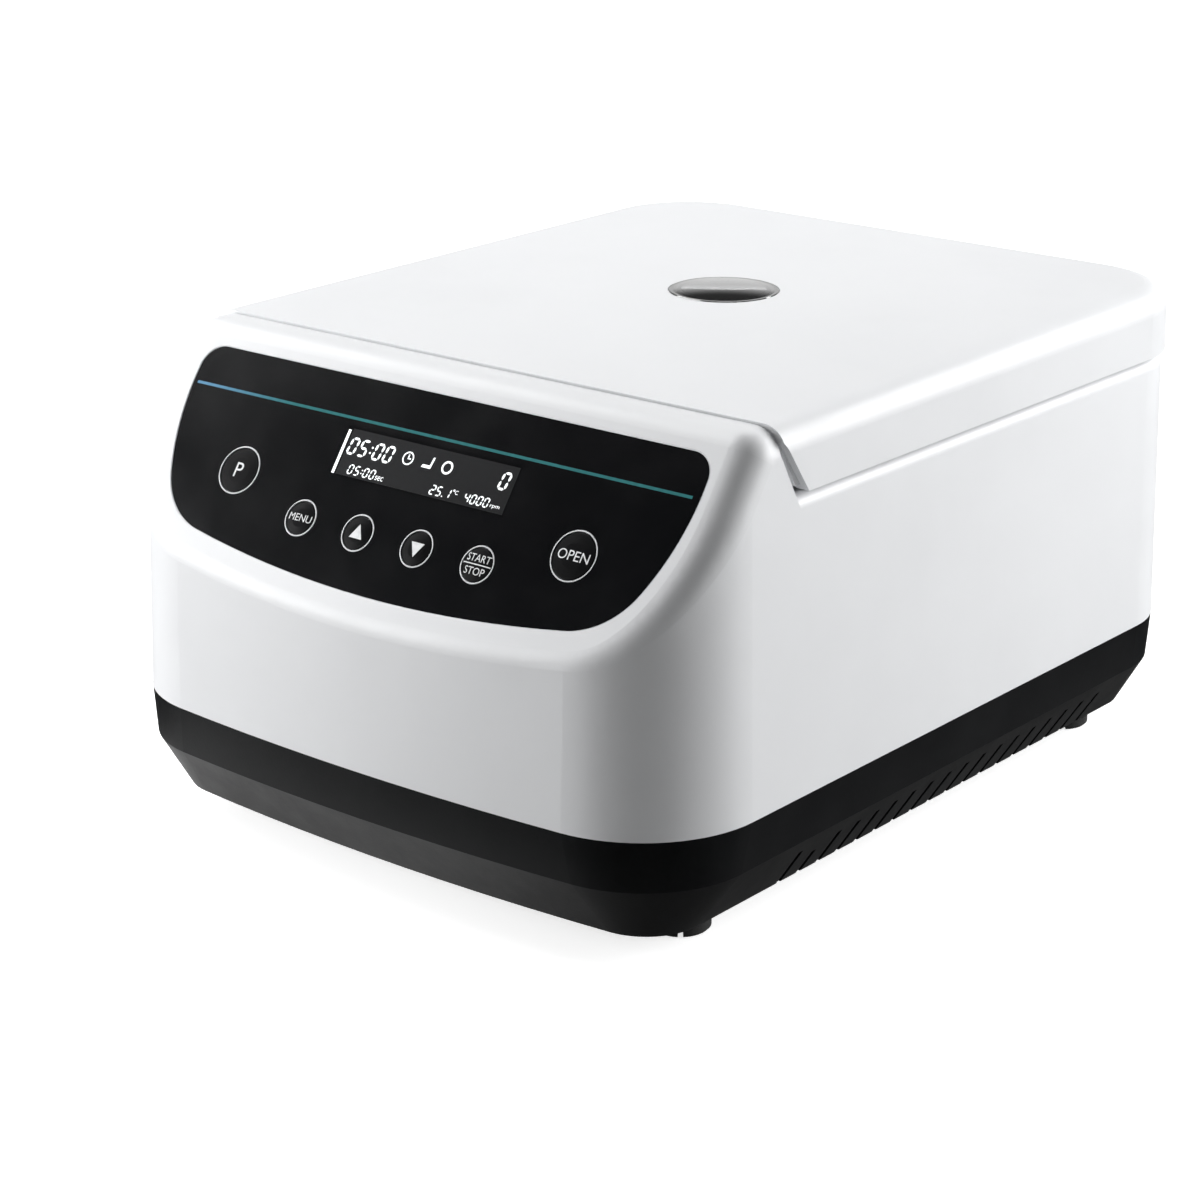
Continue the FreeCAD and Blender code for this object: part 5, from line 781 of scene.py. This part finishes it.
def digit_places(text, left, top, pitch, width, height):
    """(x, y, turn, length) of every lit bar, and (x, y) of every dot, in millimetres on the panel."""
    places, dots = [], []
    pen = left
    for mark in text:
        if mark in ":.":
            rows = COLON_ROWS if mark == ":" else POINT_ROWS
            dots += [(pen + SLANT * height * row + width * DOT_SHIFT, -top - height * (1 - row))
                     for row in rows]
            pen += pitch * DOT_ADVANCE
            continue
        for bar in SEGMENTS[mark]:
            across, up, upright = BARS[bar]
            length = (height / 2 if upright else width) * BAR_SHARE
            places.append((pen + across * width + SLANT * height * up, -top - height * (1 - up),
                           math.pi / 2 - SLANT if upright else 0.0, length))
        pen += pitch
    return places, dots


print("digits that can be shown:", "".join(SEGMENTS))

# %% [markdown]
# ## The tree that draws a bar
# A bar is a flat hexagon, raised a little and closed underneath. Geometry Nodes puts one on each
# point and reads its turn and its length from that point. Copying a mesh in a loop would do the
# same, but in the tree the width and the height stay two inputs that can be changed later.

# %% Bar tree
HEXAGON, UNIT_RADIUS = 6, 0.5


def bar_tree():
    """Geometry Nodes: a flat six-sided bar on every point, turned and stretched by attributes."""
    tree = bpy.data.node_groups.new("lit_bars", "GeometryNodeTree")
    face = tree.interface
    face.new_socket(name="Geometry", in_out="INPUT", socket_type="NodeSocketGeometry")
    for title, value in (("Bar Width", 0.0006), ("Bar Height", 0.00008)):
        face.new_socket(name=title, in_out="INPUT", socket_type=FLOAT).default_value = value
    face.new_socket(name="Finish", in_out="INPUT", socket_type="NodeSocketMaterial")
    face.new_socket(name="Geometry", in_out="OUTPUT", socket_type="NodeSocketGeometry")
    add = tree.nodes.new
    group_in, group_out = add("NodeGroupInput"), add("NodeGroupOutput")
    bar = add("GeometryNodeMeshCircle")
    bar.fill_type = "NGON"
    bar.inputs["Vertices"].default_value = HEXAGON
    bar.inputs["Radius"].default_value = UNIT_RADIUS
    solid = add("GeometryNodeExtrudeMesh")
    solid.inputs["Offset Scale"].default_value = 1.0
    link(tree, bar.outputs[0], solid.inputs["Mesh"])
    whole = add("GeometryNodeJoinGeometry")
    under = add("GeometryNodeFlipFaces")
    link(tree, bar.outputs[0], under.inputs[0])
    link(tree, solid.outputs["Mesh"], whole.inputs[0])
    link(tree, under.outputs[0], whole.inputs[0])
    spots = add("GeometryNodeInstanceOnPoints")
    link(tree, group_in.outputs["Geometry"], spots.inputs["Points"])
    link(tree, whole.outputs[0], spots.inputs["Instance"])
    turn = add("GeometryNodeInputNamedAttribute")
    turn.data_type = "FLOAT"
    turn.inputs["Name"].default_value = "turn"
    spin = add("ShaderNodeCombineXYZ")
    link(tree, turn.outputs[0], spin.inputs["Z"])
    link(tree, spin.outputs[0], spots.inputs["Rotation"])
    length = add("GeometryNodeInputNamedAttribute")
    length.data_type = "FLOAT"
    length.inputs["Name"].default_value = "length"
    size = add("ShaderNodeCombineXYZ")
    link(tree, length.outputs[0], size.inputs["X"])
    link(tree, group_in.outputs["Bar Width"], size.inputs["Y"])
    link(tree, group_in.outputs["Bar Height"], size.inputs["Z"])
    link(tree, size.outputs[0], spots.inputs["Scale"])
    real = add("GeometryNodeRealizeInstances")
    link(tree, spots.outputs[0], real.inputs[0])
    paint = add("GeometryNodeSetMaterial")
    link(tree, real.outputs[0], paint.inputs[0])
    link(tree, group_in.outputs["Finish"], paint.inputs["Material"])
    link(tree, paint.outputs[0], group_out.inputs[0])
    return tree


lit_bars = bar_tree()
print("tree:", lit_bars.name, "with", len(lit_bars.nodes), "nodes")

# %% [markdown]
# ## From points to a plain mesh
# A tree needs something to work on: here loose points that carry each bar's turn and length. The
# modifier's inputs are set before it is first evaluated. It could stay on the object, but copying
# its result into a plain mesh and removing the points leaves nothing live to go wrong later.

# %% Growing a mesh from points
def grown(name, points, tree, values, attributes=None):
    """Run a Geometry Nodes tree on points and return the result as a plain mesh."""
    mesh = bpy.data.meshes.new(name + "_points")
    mesh.from_pydata(points, [], [])
    for key, numbers in (attributes or {}).items():
        mesh.attributes.new(key, "FLOAT", "POINT").data.foreach_set("value", numbers)
    carrier = link_object(name + "_points", mesh)
    modifier = carrier.modifiers.new("grow", "NODES")
    modifier.node_group = tree
    inputs = [item for item in tree.interface.items_tree if item.in_out == "INPUT"]
    sockets = {item.name: item.identifier for item in inputs}
    for key, value in values.items():
        modifier[sockets[key]] = value
    carrier.update_tag()
    graph = bpy.context.evaluated_depsgraph_get()
    graph.update()
    result = bpy.data.meshes.new_from_object(carrier.evaluated_get(graph))
    bpy.data.objects.remove(carrier)
    return result


print("helper: grown")

# %% [markdown]
# ## What the display shows
# Two large readings stand over three small ones: a time and a speed, and under them the set time,
# the temperature and the set speed. Each is one call with its text, place and size.

# %% Display digits
WINDOW_FACE = FASCIA_FACE + 0.02 * MM
LIT_DEPTH = 0.08 * MM
LARGE_BAR, SMALL_BAR = 1.1 * MM, 0.62 * MM
# text, left end, top, pitch, width and height of a digit, in millimetres on the panel
big, big_dots = digit_places("05:00", -36.1, 24.7, 5.4, 3.3, 6.2)
zero, _ = digit_places("0", 39.6, 24.1, 5.4, 3.2, 6.3)
small, small_dots = digit_places("05:00", -31.9, 35.1, 3.3, 1.95, 3.5)
warm, warm_dots = digit_places("25.1", 9.9, 35.1, 3.15, 1.95, 3.5)
fast, _ = digit_places("4000", 26.7, 35.0, 3.15, 1.95, 3.4)


def digit_piece(name, places, width):
    points = [(x * MM, y * MM, WINDOW_FACE) for x, y, _, _ in places]
    mesh = grown(name, points, lit_bars,
                 {"Bar Width": width, "Bar Height": LIT_DEPTH, "Finish": lit_ink},
                 {"turn": [p[2] for p in places], "length": [p[3] * MM for p in places]})
    mesh.transform(PANEL)
    item = link_object(name, mesh)
    facing_out(item)
    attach(item, "cabinet")
    return item


digit_piece("large_digits", big + zero, LARGE_BAR)
digit_piece("small_digits", small + warm + fast, SMALL_BAR)
print("lit bars:", len(big + zero + small + warm + fast))

# %% [markdown]
# ## Bar, dots and icons of the display
# Beside the digits the display shows an upright bar, the dots of the times and three plain
# icons: a clock, a ramp and a ring. They are flat shapes cut from discs, rings and slabs.

# %% Flat shapes
def circle(x, y, radius, level, sides):
    turns = [2 * math.pi * k / sides for k in range(sides)]
    return [(x + radius * math.cos(turn), y + radius * math.sin(turn), level) for turn in turns]


def disc(x, y, radius, low, high, sides=28):
    points = circle(x, y, radius, low, sides) + circle(x, y, radius, high, sides)
    faces = [tuple(reversed(range(sides))), tuple(range(sides, 2 * sides))]
    faces += [(k, (k + 1) % sides, sides + (k + 1) % sides, sides + k) for k in range(sides)]
    return points, faces


def flat_ring(x, y, outer, inner, low, high, sides=36):
    points = [point for level in (low, high) for radius in (outer, inner)
              for point in circle(x, y, radius, level, sides)]
    faces = []
    for k in range(sides):
        n = (k + 1) % sides
        faces += [(k, n, 2 * sides + n, 2 * sides + k),
                  (sides + n, sides + k, 3 * sides + k, 3 * sides + n),
                  (2 * sides + k, 2 * sides + n, 3 * sides + n, 3 * sides + k),
                  (n, k, sides + k, sides + n)]
    return points, faces


def mm_slab(x0, x1, y0, y1, lean=0.0):
    return slab(x0 * MM, x1 * MM, y0 * MM, y1 * MM, WINDOW_FACE, WINDOW_FACE + LIT_DEPTH, lean)


def mm_disc(x, y, radius):
    return disc(x * MM, y * MM, radius * MM, WINDOW_FACE, WINDOW_FACE + LIT_DEPTH)


def mm_ring(x, y, outer, inner):
    return flat_ring(x * MM, y * MM, outer * MM, inner * MM, WINDOW_FACE, WINDOW_FACE + LIT_DEPTH)


print("flat shapes: disc, flat_ring, and slab, each also in millimetres on the window")

# %% [markdown]
# ## The icons
# Each icon is a short list of those shapes, so its parts can be read and moved one by one. A font
# of symbols would be quicker, but then the icons would depend on the fonts that are installed.

# %% Display icons
BIG_DOT, SMALL_DOT = 0.42, 0.28
# a slab's left, right, bottom and top, and a ring's middle and its two radii, in millimetres
upright_bar = [mm_slab(-39.3, -38.0, -39.8, -21.7)]
clock = [mm_ring(-6.0, -27.4, 2.7, 2.15), mm_slab(-6.2, -5.7, -27.6, -25.8),
         mm_slab(-6.2, -4.6, -27.7, -27.2)]
run_ring = [mm_ring(13.6, -27.4, 2.65, 1.85)]
ramp = [mm_slab(1.4, 5.2, -29.4, -28.2, 0.4), mm_slab(5.2, 6.0, -29.4, -24.8, 0.12)]
degree_ring = [mm_ring(21.1, -35.2, 0.45, 0.22)]
icons = upright_bar + clock + run_ring + ramp + degree_ring
icons += [mm_disc(x, y, BIG_DOT) for x, y in big_dots]
icons += [mm_disc(x, y, SMALL_DOT) for x, y in small_dots + warm_dots]
make_piece("display_icons", *joined(icons), lit_ink, "cabinet", PANEL, "smoked_window")
print("icons:", len(icons))

# %% [markdown]
# ## The display's ground
# A lit display is never as black as the acrylic round it. A sheet two hundredths of a millimetre
# thick lies under the digits and gives the faint grey field, so the window itself stays untouched.

# %% Display ground
GROUND_LEFT, GROUND_RIGHT, GROUND_BOTTOM, GROUND_TOP = -37.2 * MM, 46.4 * MM, -39.8 * MM, -21.0 * MM
ground_ink = ink("display_ground", rgb(0.0078, 0.0083, 0.0098), 0.0, 0.3)
shape = slab(GROUND_LEFT, GROUND_RIGHT, GROUND_BOTTOM, GROUND_TOP, FASCIA_FACE, WINDOW_FACE)
make_piece("display_ground", *shape, ground_ink, "cabinet", PANEL, "smoked_window")
print("display ground:", round((GROUND_RIGHT - GROUND_LEFT) / MM, 1), "mm wide")

# %% [markdown]
# ## Words on the keys
# Each key carries a plain word, a letter or an arrow. The letters come from Blender's own font:
# a text object is turned into a mesh, scaled to the size it has on the key, and pressed on to the
# key's shallow dome, so the print neither floats nor sinks.

# %% Key places
OUTER_X, OUTER_DOWN, OUTER_RADIUS = 84.3, 47.9, 10.05
INNER_X, MIDDLE_X, INNER_DOWN, INNER_RADIUS = 44.6, 14.9, 60.0, 7.6
# place to the right and down the panel, and radius, in millimetres
KEYS = {"program_key": (-OUTER_X, OUTER_DOWN, OUTER_RADIUS),
        "menu_key": (-INNER_X, INNER_DOWN, INNER_RADIUS),
        "up_key": (-MIDDLE_X, INNER_DOWN, INNER_RADIUS),
        "down_key": (MIDDLE_X, INNER_DOWN, INNER_RADIUS),
        "start_stop_key": (INNER_X, INNER_DOWN, INNER_RADIUS),
        "open_key": (OUTER_X, OUTER_DOWN, OUTER_RADIUS)}
print("keys:", len(KEYS))

# %% [markdown]
# ## The keys' domed tops
# A key's cap is a low dome, which its legend has to follow. Its height could be found by casting
# rays at the solid, but the dome is round, so one function of the distance from its middle is
# enough and is easier to read.

# %% The keys' domed tops
# a key's cap is smaller than its place by a margin; its crown falls slowly to a share of the cap's
# radius, and from there its shoulder falls to the edge
KEY_MARGIN, KEY_EDGE = 0.85 * MM, 0.4 * MM
CROWN_SHARE, CROWN_HEIGHT, CROWN_FALL = 0.55, 0.35 * MM, 0.25


def dome_height(r, radius):
    """Height of a key's top above the panel plane at a distance from its middle, in metres."""
    cap = radius * MM - KEY_MARGIN
    crown = cap * CROWN_SHARE
    if r < crown:
        return FASCIA_FACE + CROWN_HEIGHT * (1 - CROWN_FALL * r / crown)
    shoulder = CROWN_HEIGHT * (1 - CROWN_FALL)
    return FASCIA_FACE + shoulder * max(0.0, (cap - KEY_EDGE - r) / (cap - crown - KEY_EDGE))


print("middle of a small key:", round(dome_height(0, INNER_RADIUS) / MM, 3), "mm from the panel plane")

# %% [markdown]
# ## Words and arrows as flat shapes
# A text object doesn't say how large its letters come out, so it is turned into a mesh, measured
# and scaled to the width or height wanted. An arrow is only a triangle, so its three corners are
# worked out from one size instead of looking for a letter that has its shape.

# %% Word and arrow shapes
CURVE_STEPS = 4
# an arrow's half width, and how far its foot and its tip lie from the middle, as shares of its size
ARROW_HALF, ARROW_FOOT, ARROW_TIP = 0.86, 0.62, 0.95


def word_mesh(text, width=None, height=None):
    """The default font's outline of a word, centred, in metres."""
    curve = bpy.data.curves.new("word", "FONT")
    curve.body = text
    curve.resolution_u = CURVE_STEPS
    letters = link_object("word", curve)
    bpy.context.view_layer.update()
    mesh = bpy.data.meshes.new_from_object(letters.evaluated_get(bpy.context.evaluated_depsgraph_get()))
    bpy.data.objects.remove(letters)
    xs = [v.co.x for v in mesh.vertices]
    ys = [v.co.y for v in mesh.vertices]
    wide, tall = max(xs) - min(xs), max(ys) - min(ys)
    across = width * MM / wide if width else height * MM / tall
    up = height * MM / tall if height else across
    mesh.transform(Matrix.Diagonal((across, up, 1, 1))
                   @ Matrix.Translation((-(max(xs) + min(xs)) / 2, -(max(ys) + min(ys)) / 2, 0)))
    return mesh


def mesh_shape(mesh, x=0.0, y=0.0):
    """A mesh's points and faces, shifted in millimetres."""
    return ([(v.co.x + x * MM, v.co.y + y * MM, v.co.z) for v in mesh.vertices],
            [tuple(polygon.vertices) for polygon in mesh.polygons])


def arrow(size, up):
    """A flat triangle that points up or down the panel."""
    half, foot, tip = size * ARROW_HALF, size * ARROW_FOOT, size * ARROW_TIP
    way = 1 if up else -1
    corners = [(-half, -foot * way, 0), (half, -foot * way, 0), (0, tip * way, 0)]
    return [(x * MM, y * MM, z) for x, y, z in corners], [(0, 1, 2) if up else (0, 2, 1)]


print("shape helpers: word_mesh, mesh_shape, arrow")

# %% [markdown]
# ## Pressing the legends on
# A flat letter has few points, so its long edges would bridge the dome like straight planks. They
# are cut into short ones first, and then every point is lifted to the dome's height. A Shrinkwrap
# modifier would do the same, but it would copy the solid's facets too.

# %% Key legends
ARROW = 3.7
LONG_EDGE, CUTS = 1.5 * MM, 7
INK_LIFT = 0.06 * MM
DIVIDER_REACH, DIVIDER_RISE, DIVIDER_DEPTH = 6.5 * MM, 0.2 * MM, 0.02 * MM
# widths, heights and shifts in millimetres
LEGENDS = {
    "program_key": [mesh_shape(word_mesh("P", height=6.0))],
    "menu_key": [mesh_shape(word_mesh("MENU", width=11.2, height=2.9))],
    "up_key": [arrow(ARROW, True)],
    "down_key": [arrow(ARROW, False)],
    "start_stop_key": [mesh_shape(word_mesh("START", width=11.0, height=2.9), 0, 2.5),
                       mesh_shape(word_mesh("STOP", width=9.4, height=2.9), 0, -2.6),
                       slab(-DIVIDER_REACH, DIVIDER_REACH, -DIVIDER_RISE, DIVIDER_RISE,
                            0, DIVIDER_DEPTH)],
    "open_key": [mesh_shape(word_mesh("OPEN", width=14.2, height=3.9))],
}
for key, (x, down, radius) in KEYS.items():
    points, faces = joined(LEGENDS[key])
    cut = bmesh.new()
    made = [cut.verts.new(p) for p in points]
    for face in faces:
        cut.faces.new([made[i] for i in face])
    bmesh.ops.triangulate(cut, faces=cut.faces)
    long_edges = [edge for edge in cut.edges if edge.calc_length() > LONG_EDGE]
    bmesh.ops.subdivide_edges(cut, edges=long_edges, cuts=CUTS, use_grid_fill=True)
    bmesh.ops.triangulate(cut, faces=cut.faces)
    for vertex in cut.verts:
        r = math.hypot(vertex.co.x, vertex.co.y)
        vertex.co.z += dome_height(r, radius) + INK_LIFT
    mesh = bpy.data.meshes.new(key + "_legend")
    cut.to_mesh(mesh)
    cut.free()
    mesh.transform(PANEL @ Matrix.Translation((x * MM, -down * MM, 0)))
    mesh.materials.append(white_ink)
    item = link_object(key + "_legend", mesh)
    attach(item, key)
print("legends:", len(LEGENDS))

# %% [markdown]
# ## Words on the display
# Small unit words stand beside the digits. They are made like the key legends but stay flat.

# %% Unit words
units = [mesh_shape(word_mesh("sec", width=4.0, height=1.8), -15.6, -37.7),
         mesh_shape(word_mesh("rpm", width=4.6, height=1.5), 41.8, -37.7),
         mesh_shape(word_mesh("C", height=1.6), 22.5, -35.8)]
points, faces = joined(units)
points = [(x, y, WINDOW_FACE + PRINT_DEPTH) for x, y, _ in points]
make_piece("display_units", points, faces, lit_ink, "cabinet", PANEL, "smoked_window")
print("unit words:", len(units))

# %% [markdown]
# ## Marks on the power switch
# A rocker switch says which half is on with a stroke and which is off with a ring. They are low
# raised shapes, stood on each half of the rocker by a matrix made from that half's own middle and
# normal, so they tip with it. A texture could show them, but it would need a map of the rocker.

# %% Rocker marks
def lying_on(middle, normal):
    """A matrix whose Z is a face's normal and whose Y climbs the face, for a face that looks back."""
    up = Vector((0, -normal.z, normal.y))
    turn = Matrix((Vector((-1, 0, 0)), up, normal)).transposed().to_4x4()
    return Matrix.Translation(middle) @ turn


LOOKS_BACK, HALF_AREA = 0.9, 2e-5
STROKE_HALF_WIDTH, STROKE_HALF_HEIGHT = 0.4 * MM, 1.7 * MM
RING_OUTER, RING_INNER = 1.6 * MM, 1.0 * MM
MARK_DEPTH = 0.06 * MM
halves = [face for face in nodes["power_rocker"].data.polygons
          if face.normal.y > LOOKS_BACK and face.area > HALF_AREA]
marks = []
for rising in (False, True):
    half = [face for face in halves if (face.normal.z < 0) == rising]
    middle = sum((face.center for face in half), Vector()) / len(half)
    place = lying_on(middle, half[0].normal)
    if rising:
        shape = slab(-STROKE_HALF_WIDTH, STROKE_HALF_WIDTH, -STROKE_HALF_HEIGHT, STROKE_HALF_HEIGHT,
                     0, MARK_DEPTH)
    else:
        shape = flat_ring(0, 0, RING_OUTER, RING_INNER, 0, MARK_DEPTH)
    marks.append(([tuple(place @ Vector(p)) for p in shape[0]], shape[1]))
# the marks share the legends' ink, with its faint painted glow
make_piece("rocker_marks", *joined(marks), white_ink, "rocker", None, "dark_plastic")
print("rocker marks:", len(marks))

# %% [markdown]
# ## Contacts of the mains inlet
# The three blades in the inlet's socket are plated brass. The solid has them in one piece with the
# plastic, so each gets a thin metal sleeve with a tapered tip, swept from four-cornered rings.

# %% Inlet contacts
# in millimetres: each blade's place across and up, its half width and half height, and the sleeve's
# rings at its foot, shoulder and tapered tip, as (place towards the rear, distance off the blade)
INLET_BLADES = ((64.0, 86.0), (71.0, 82.5), (78.0, 86.0))
BLADE_HALF_WIDTH, BLADE_HALF_HEIGHT = 1.0, 2.0
SLEEVE_RINGS = ((172.0, 0.08), (185.9, 0.08), (186.4, -0.35))


def blade_sleeve(x, z):
    """A blade's metal skin from the socket's floor to its tip."""
    points = []
    for y, grow in SLEEVE_RINGS:
        half_width, half_height = BLADE_HALF_WIDTH + grow, BLADE_HALF_HEIGHT + grow
        points += [((x + sx * half_width) * MM, y * MM, (z + sz * half_height) * MM)
                   for sx, sz in ((-1, -1), (1, -1), (1, 1), (-1, 1))]
    faces = [(0, 1, 2, 3), (11, 10, 9, 8)]
    for ring in (0, 4):
        faces += [(ring + k, ring + 4 + k, ring + 4 + (k + 1) % 4, ring + (k + 1) % 4) for k in range(4)]
    return points, faces


plated = finish("plated_brass", brushed, {
    "Light Colour": rgb(0.72, 0.70, 0.64), "Dark Colour": rgb(0.58, 0.56, 0.50),
    "Stretch": (1500.0, 80.0, 1500.0), "Smooth": 0.2, "Rough": 0.32}, metallic=1.0, bump=0.05)
contacts = make_piece("inlet_contacts", *joined([blade_sleeve(x, z) for x, z in INLET_BLADES]), plated,
                      "cabinet", None, "steel")
facing_out(contacts)
print("contacts:", len(INLET_BLADES))

# %% [markdown]
# ## Frosted ends of the slides
# A microscope slide has one ground end to write on. It is a very thin sheet laid on the glass
# beyond the filter card. Each sheet is placed from the boxes of its own slide and card, so it needs
# no numbers of its own apart from a margin.

# %% Frosted ends
frosted = finish("ground_glass", moulded, {
    "Colour": rgb(0.78, 0.80, 0.80), "Faded Colour": rgb(0.70, 0.73, 0.73), "Grain Size": 2600.0,
    "Mottle Size": 90.0, "Smooth": 0.7, "Rough": 0.85}, bump=0.35)
MARGIN = 0.6 * MM
FROST_DEPTH = 0.04 * MM
# for each carrier, the axis along which its slide lies and whether the free end is the high one
FREE_ENDS = ((1, 1), (0, 0), (1, 0), (0, 1))
for number, (axis, side) in enumerate(FREE_ENDS, start=1):
    slide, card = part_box(f"glass_slide_{number}"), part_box(f"filter_card_{number}")
    low, high = list(slide[0]), list(slide[1])
    if side:
        low[axis] = card[1][axis]
    else:
        high[axis] = card[0][axis]
    top = slide[1][2]
    shape = slab(low[0] + MARGIN, high[0] - MARGIN, low[1] + MARGIN, high[1] - MARGIN,
                 top, top + FROST_DEPTH)
    make_piece(f"frosted_end_{number}", *shape, frosted, f"carrier_{number}", None, "clear_glass")
print("frosted ends:", len(FREE_ENDS))

# %% [markdown]
# ## Numbers on the rotor
# Places on a rotor are numbered so that a loaded slide can be found again. The figures are cut from
# the same font as the key words and laid on the arms' flat tops, each turned to face outwards.

# %% Rotor numbers
AXIS = Vector((0.0, 38.0 * MM, 0.0))
ARM_TOP = 151.05 * MM
FIGURE_REACH, FIGURE_HEIGHT = 29 * MM, 7.0
PLACES, FIRST_BEARING = 4, -45
etched = ink("etched_mark", rgb(0.035, 0.036, 0.038), 0.0, 0.6)
figures = []
for number in range(PLACES):
    turn = math.radians(360 / PLACES * number + FIRST_BEARING)
    outward = Vector((math.cos(turn), math.sin(turn), 0))
    place = (Matrix.Translation(AXIS + outward * FIGURE_REACH + Vector((0, 0, ARM_TOP)))
             @ Matrix.Rotation(turn + math.pi / 2, 4, "Z"))
    points, faces = mesh_shape(word_mesh(str(number + 1), height=FIGURE_HEIGHT))
    figures.append(([tuple(place @ Vector(p)) for p in points], faces))
make_piece("rotor_numbers", *joined(figures), etched, "rotor", None, "anodised_aluminium")
print("figures:", len(figures))
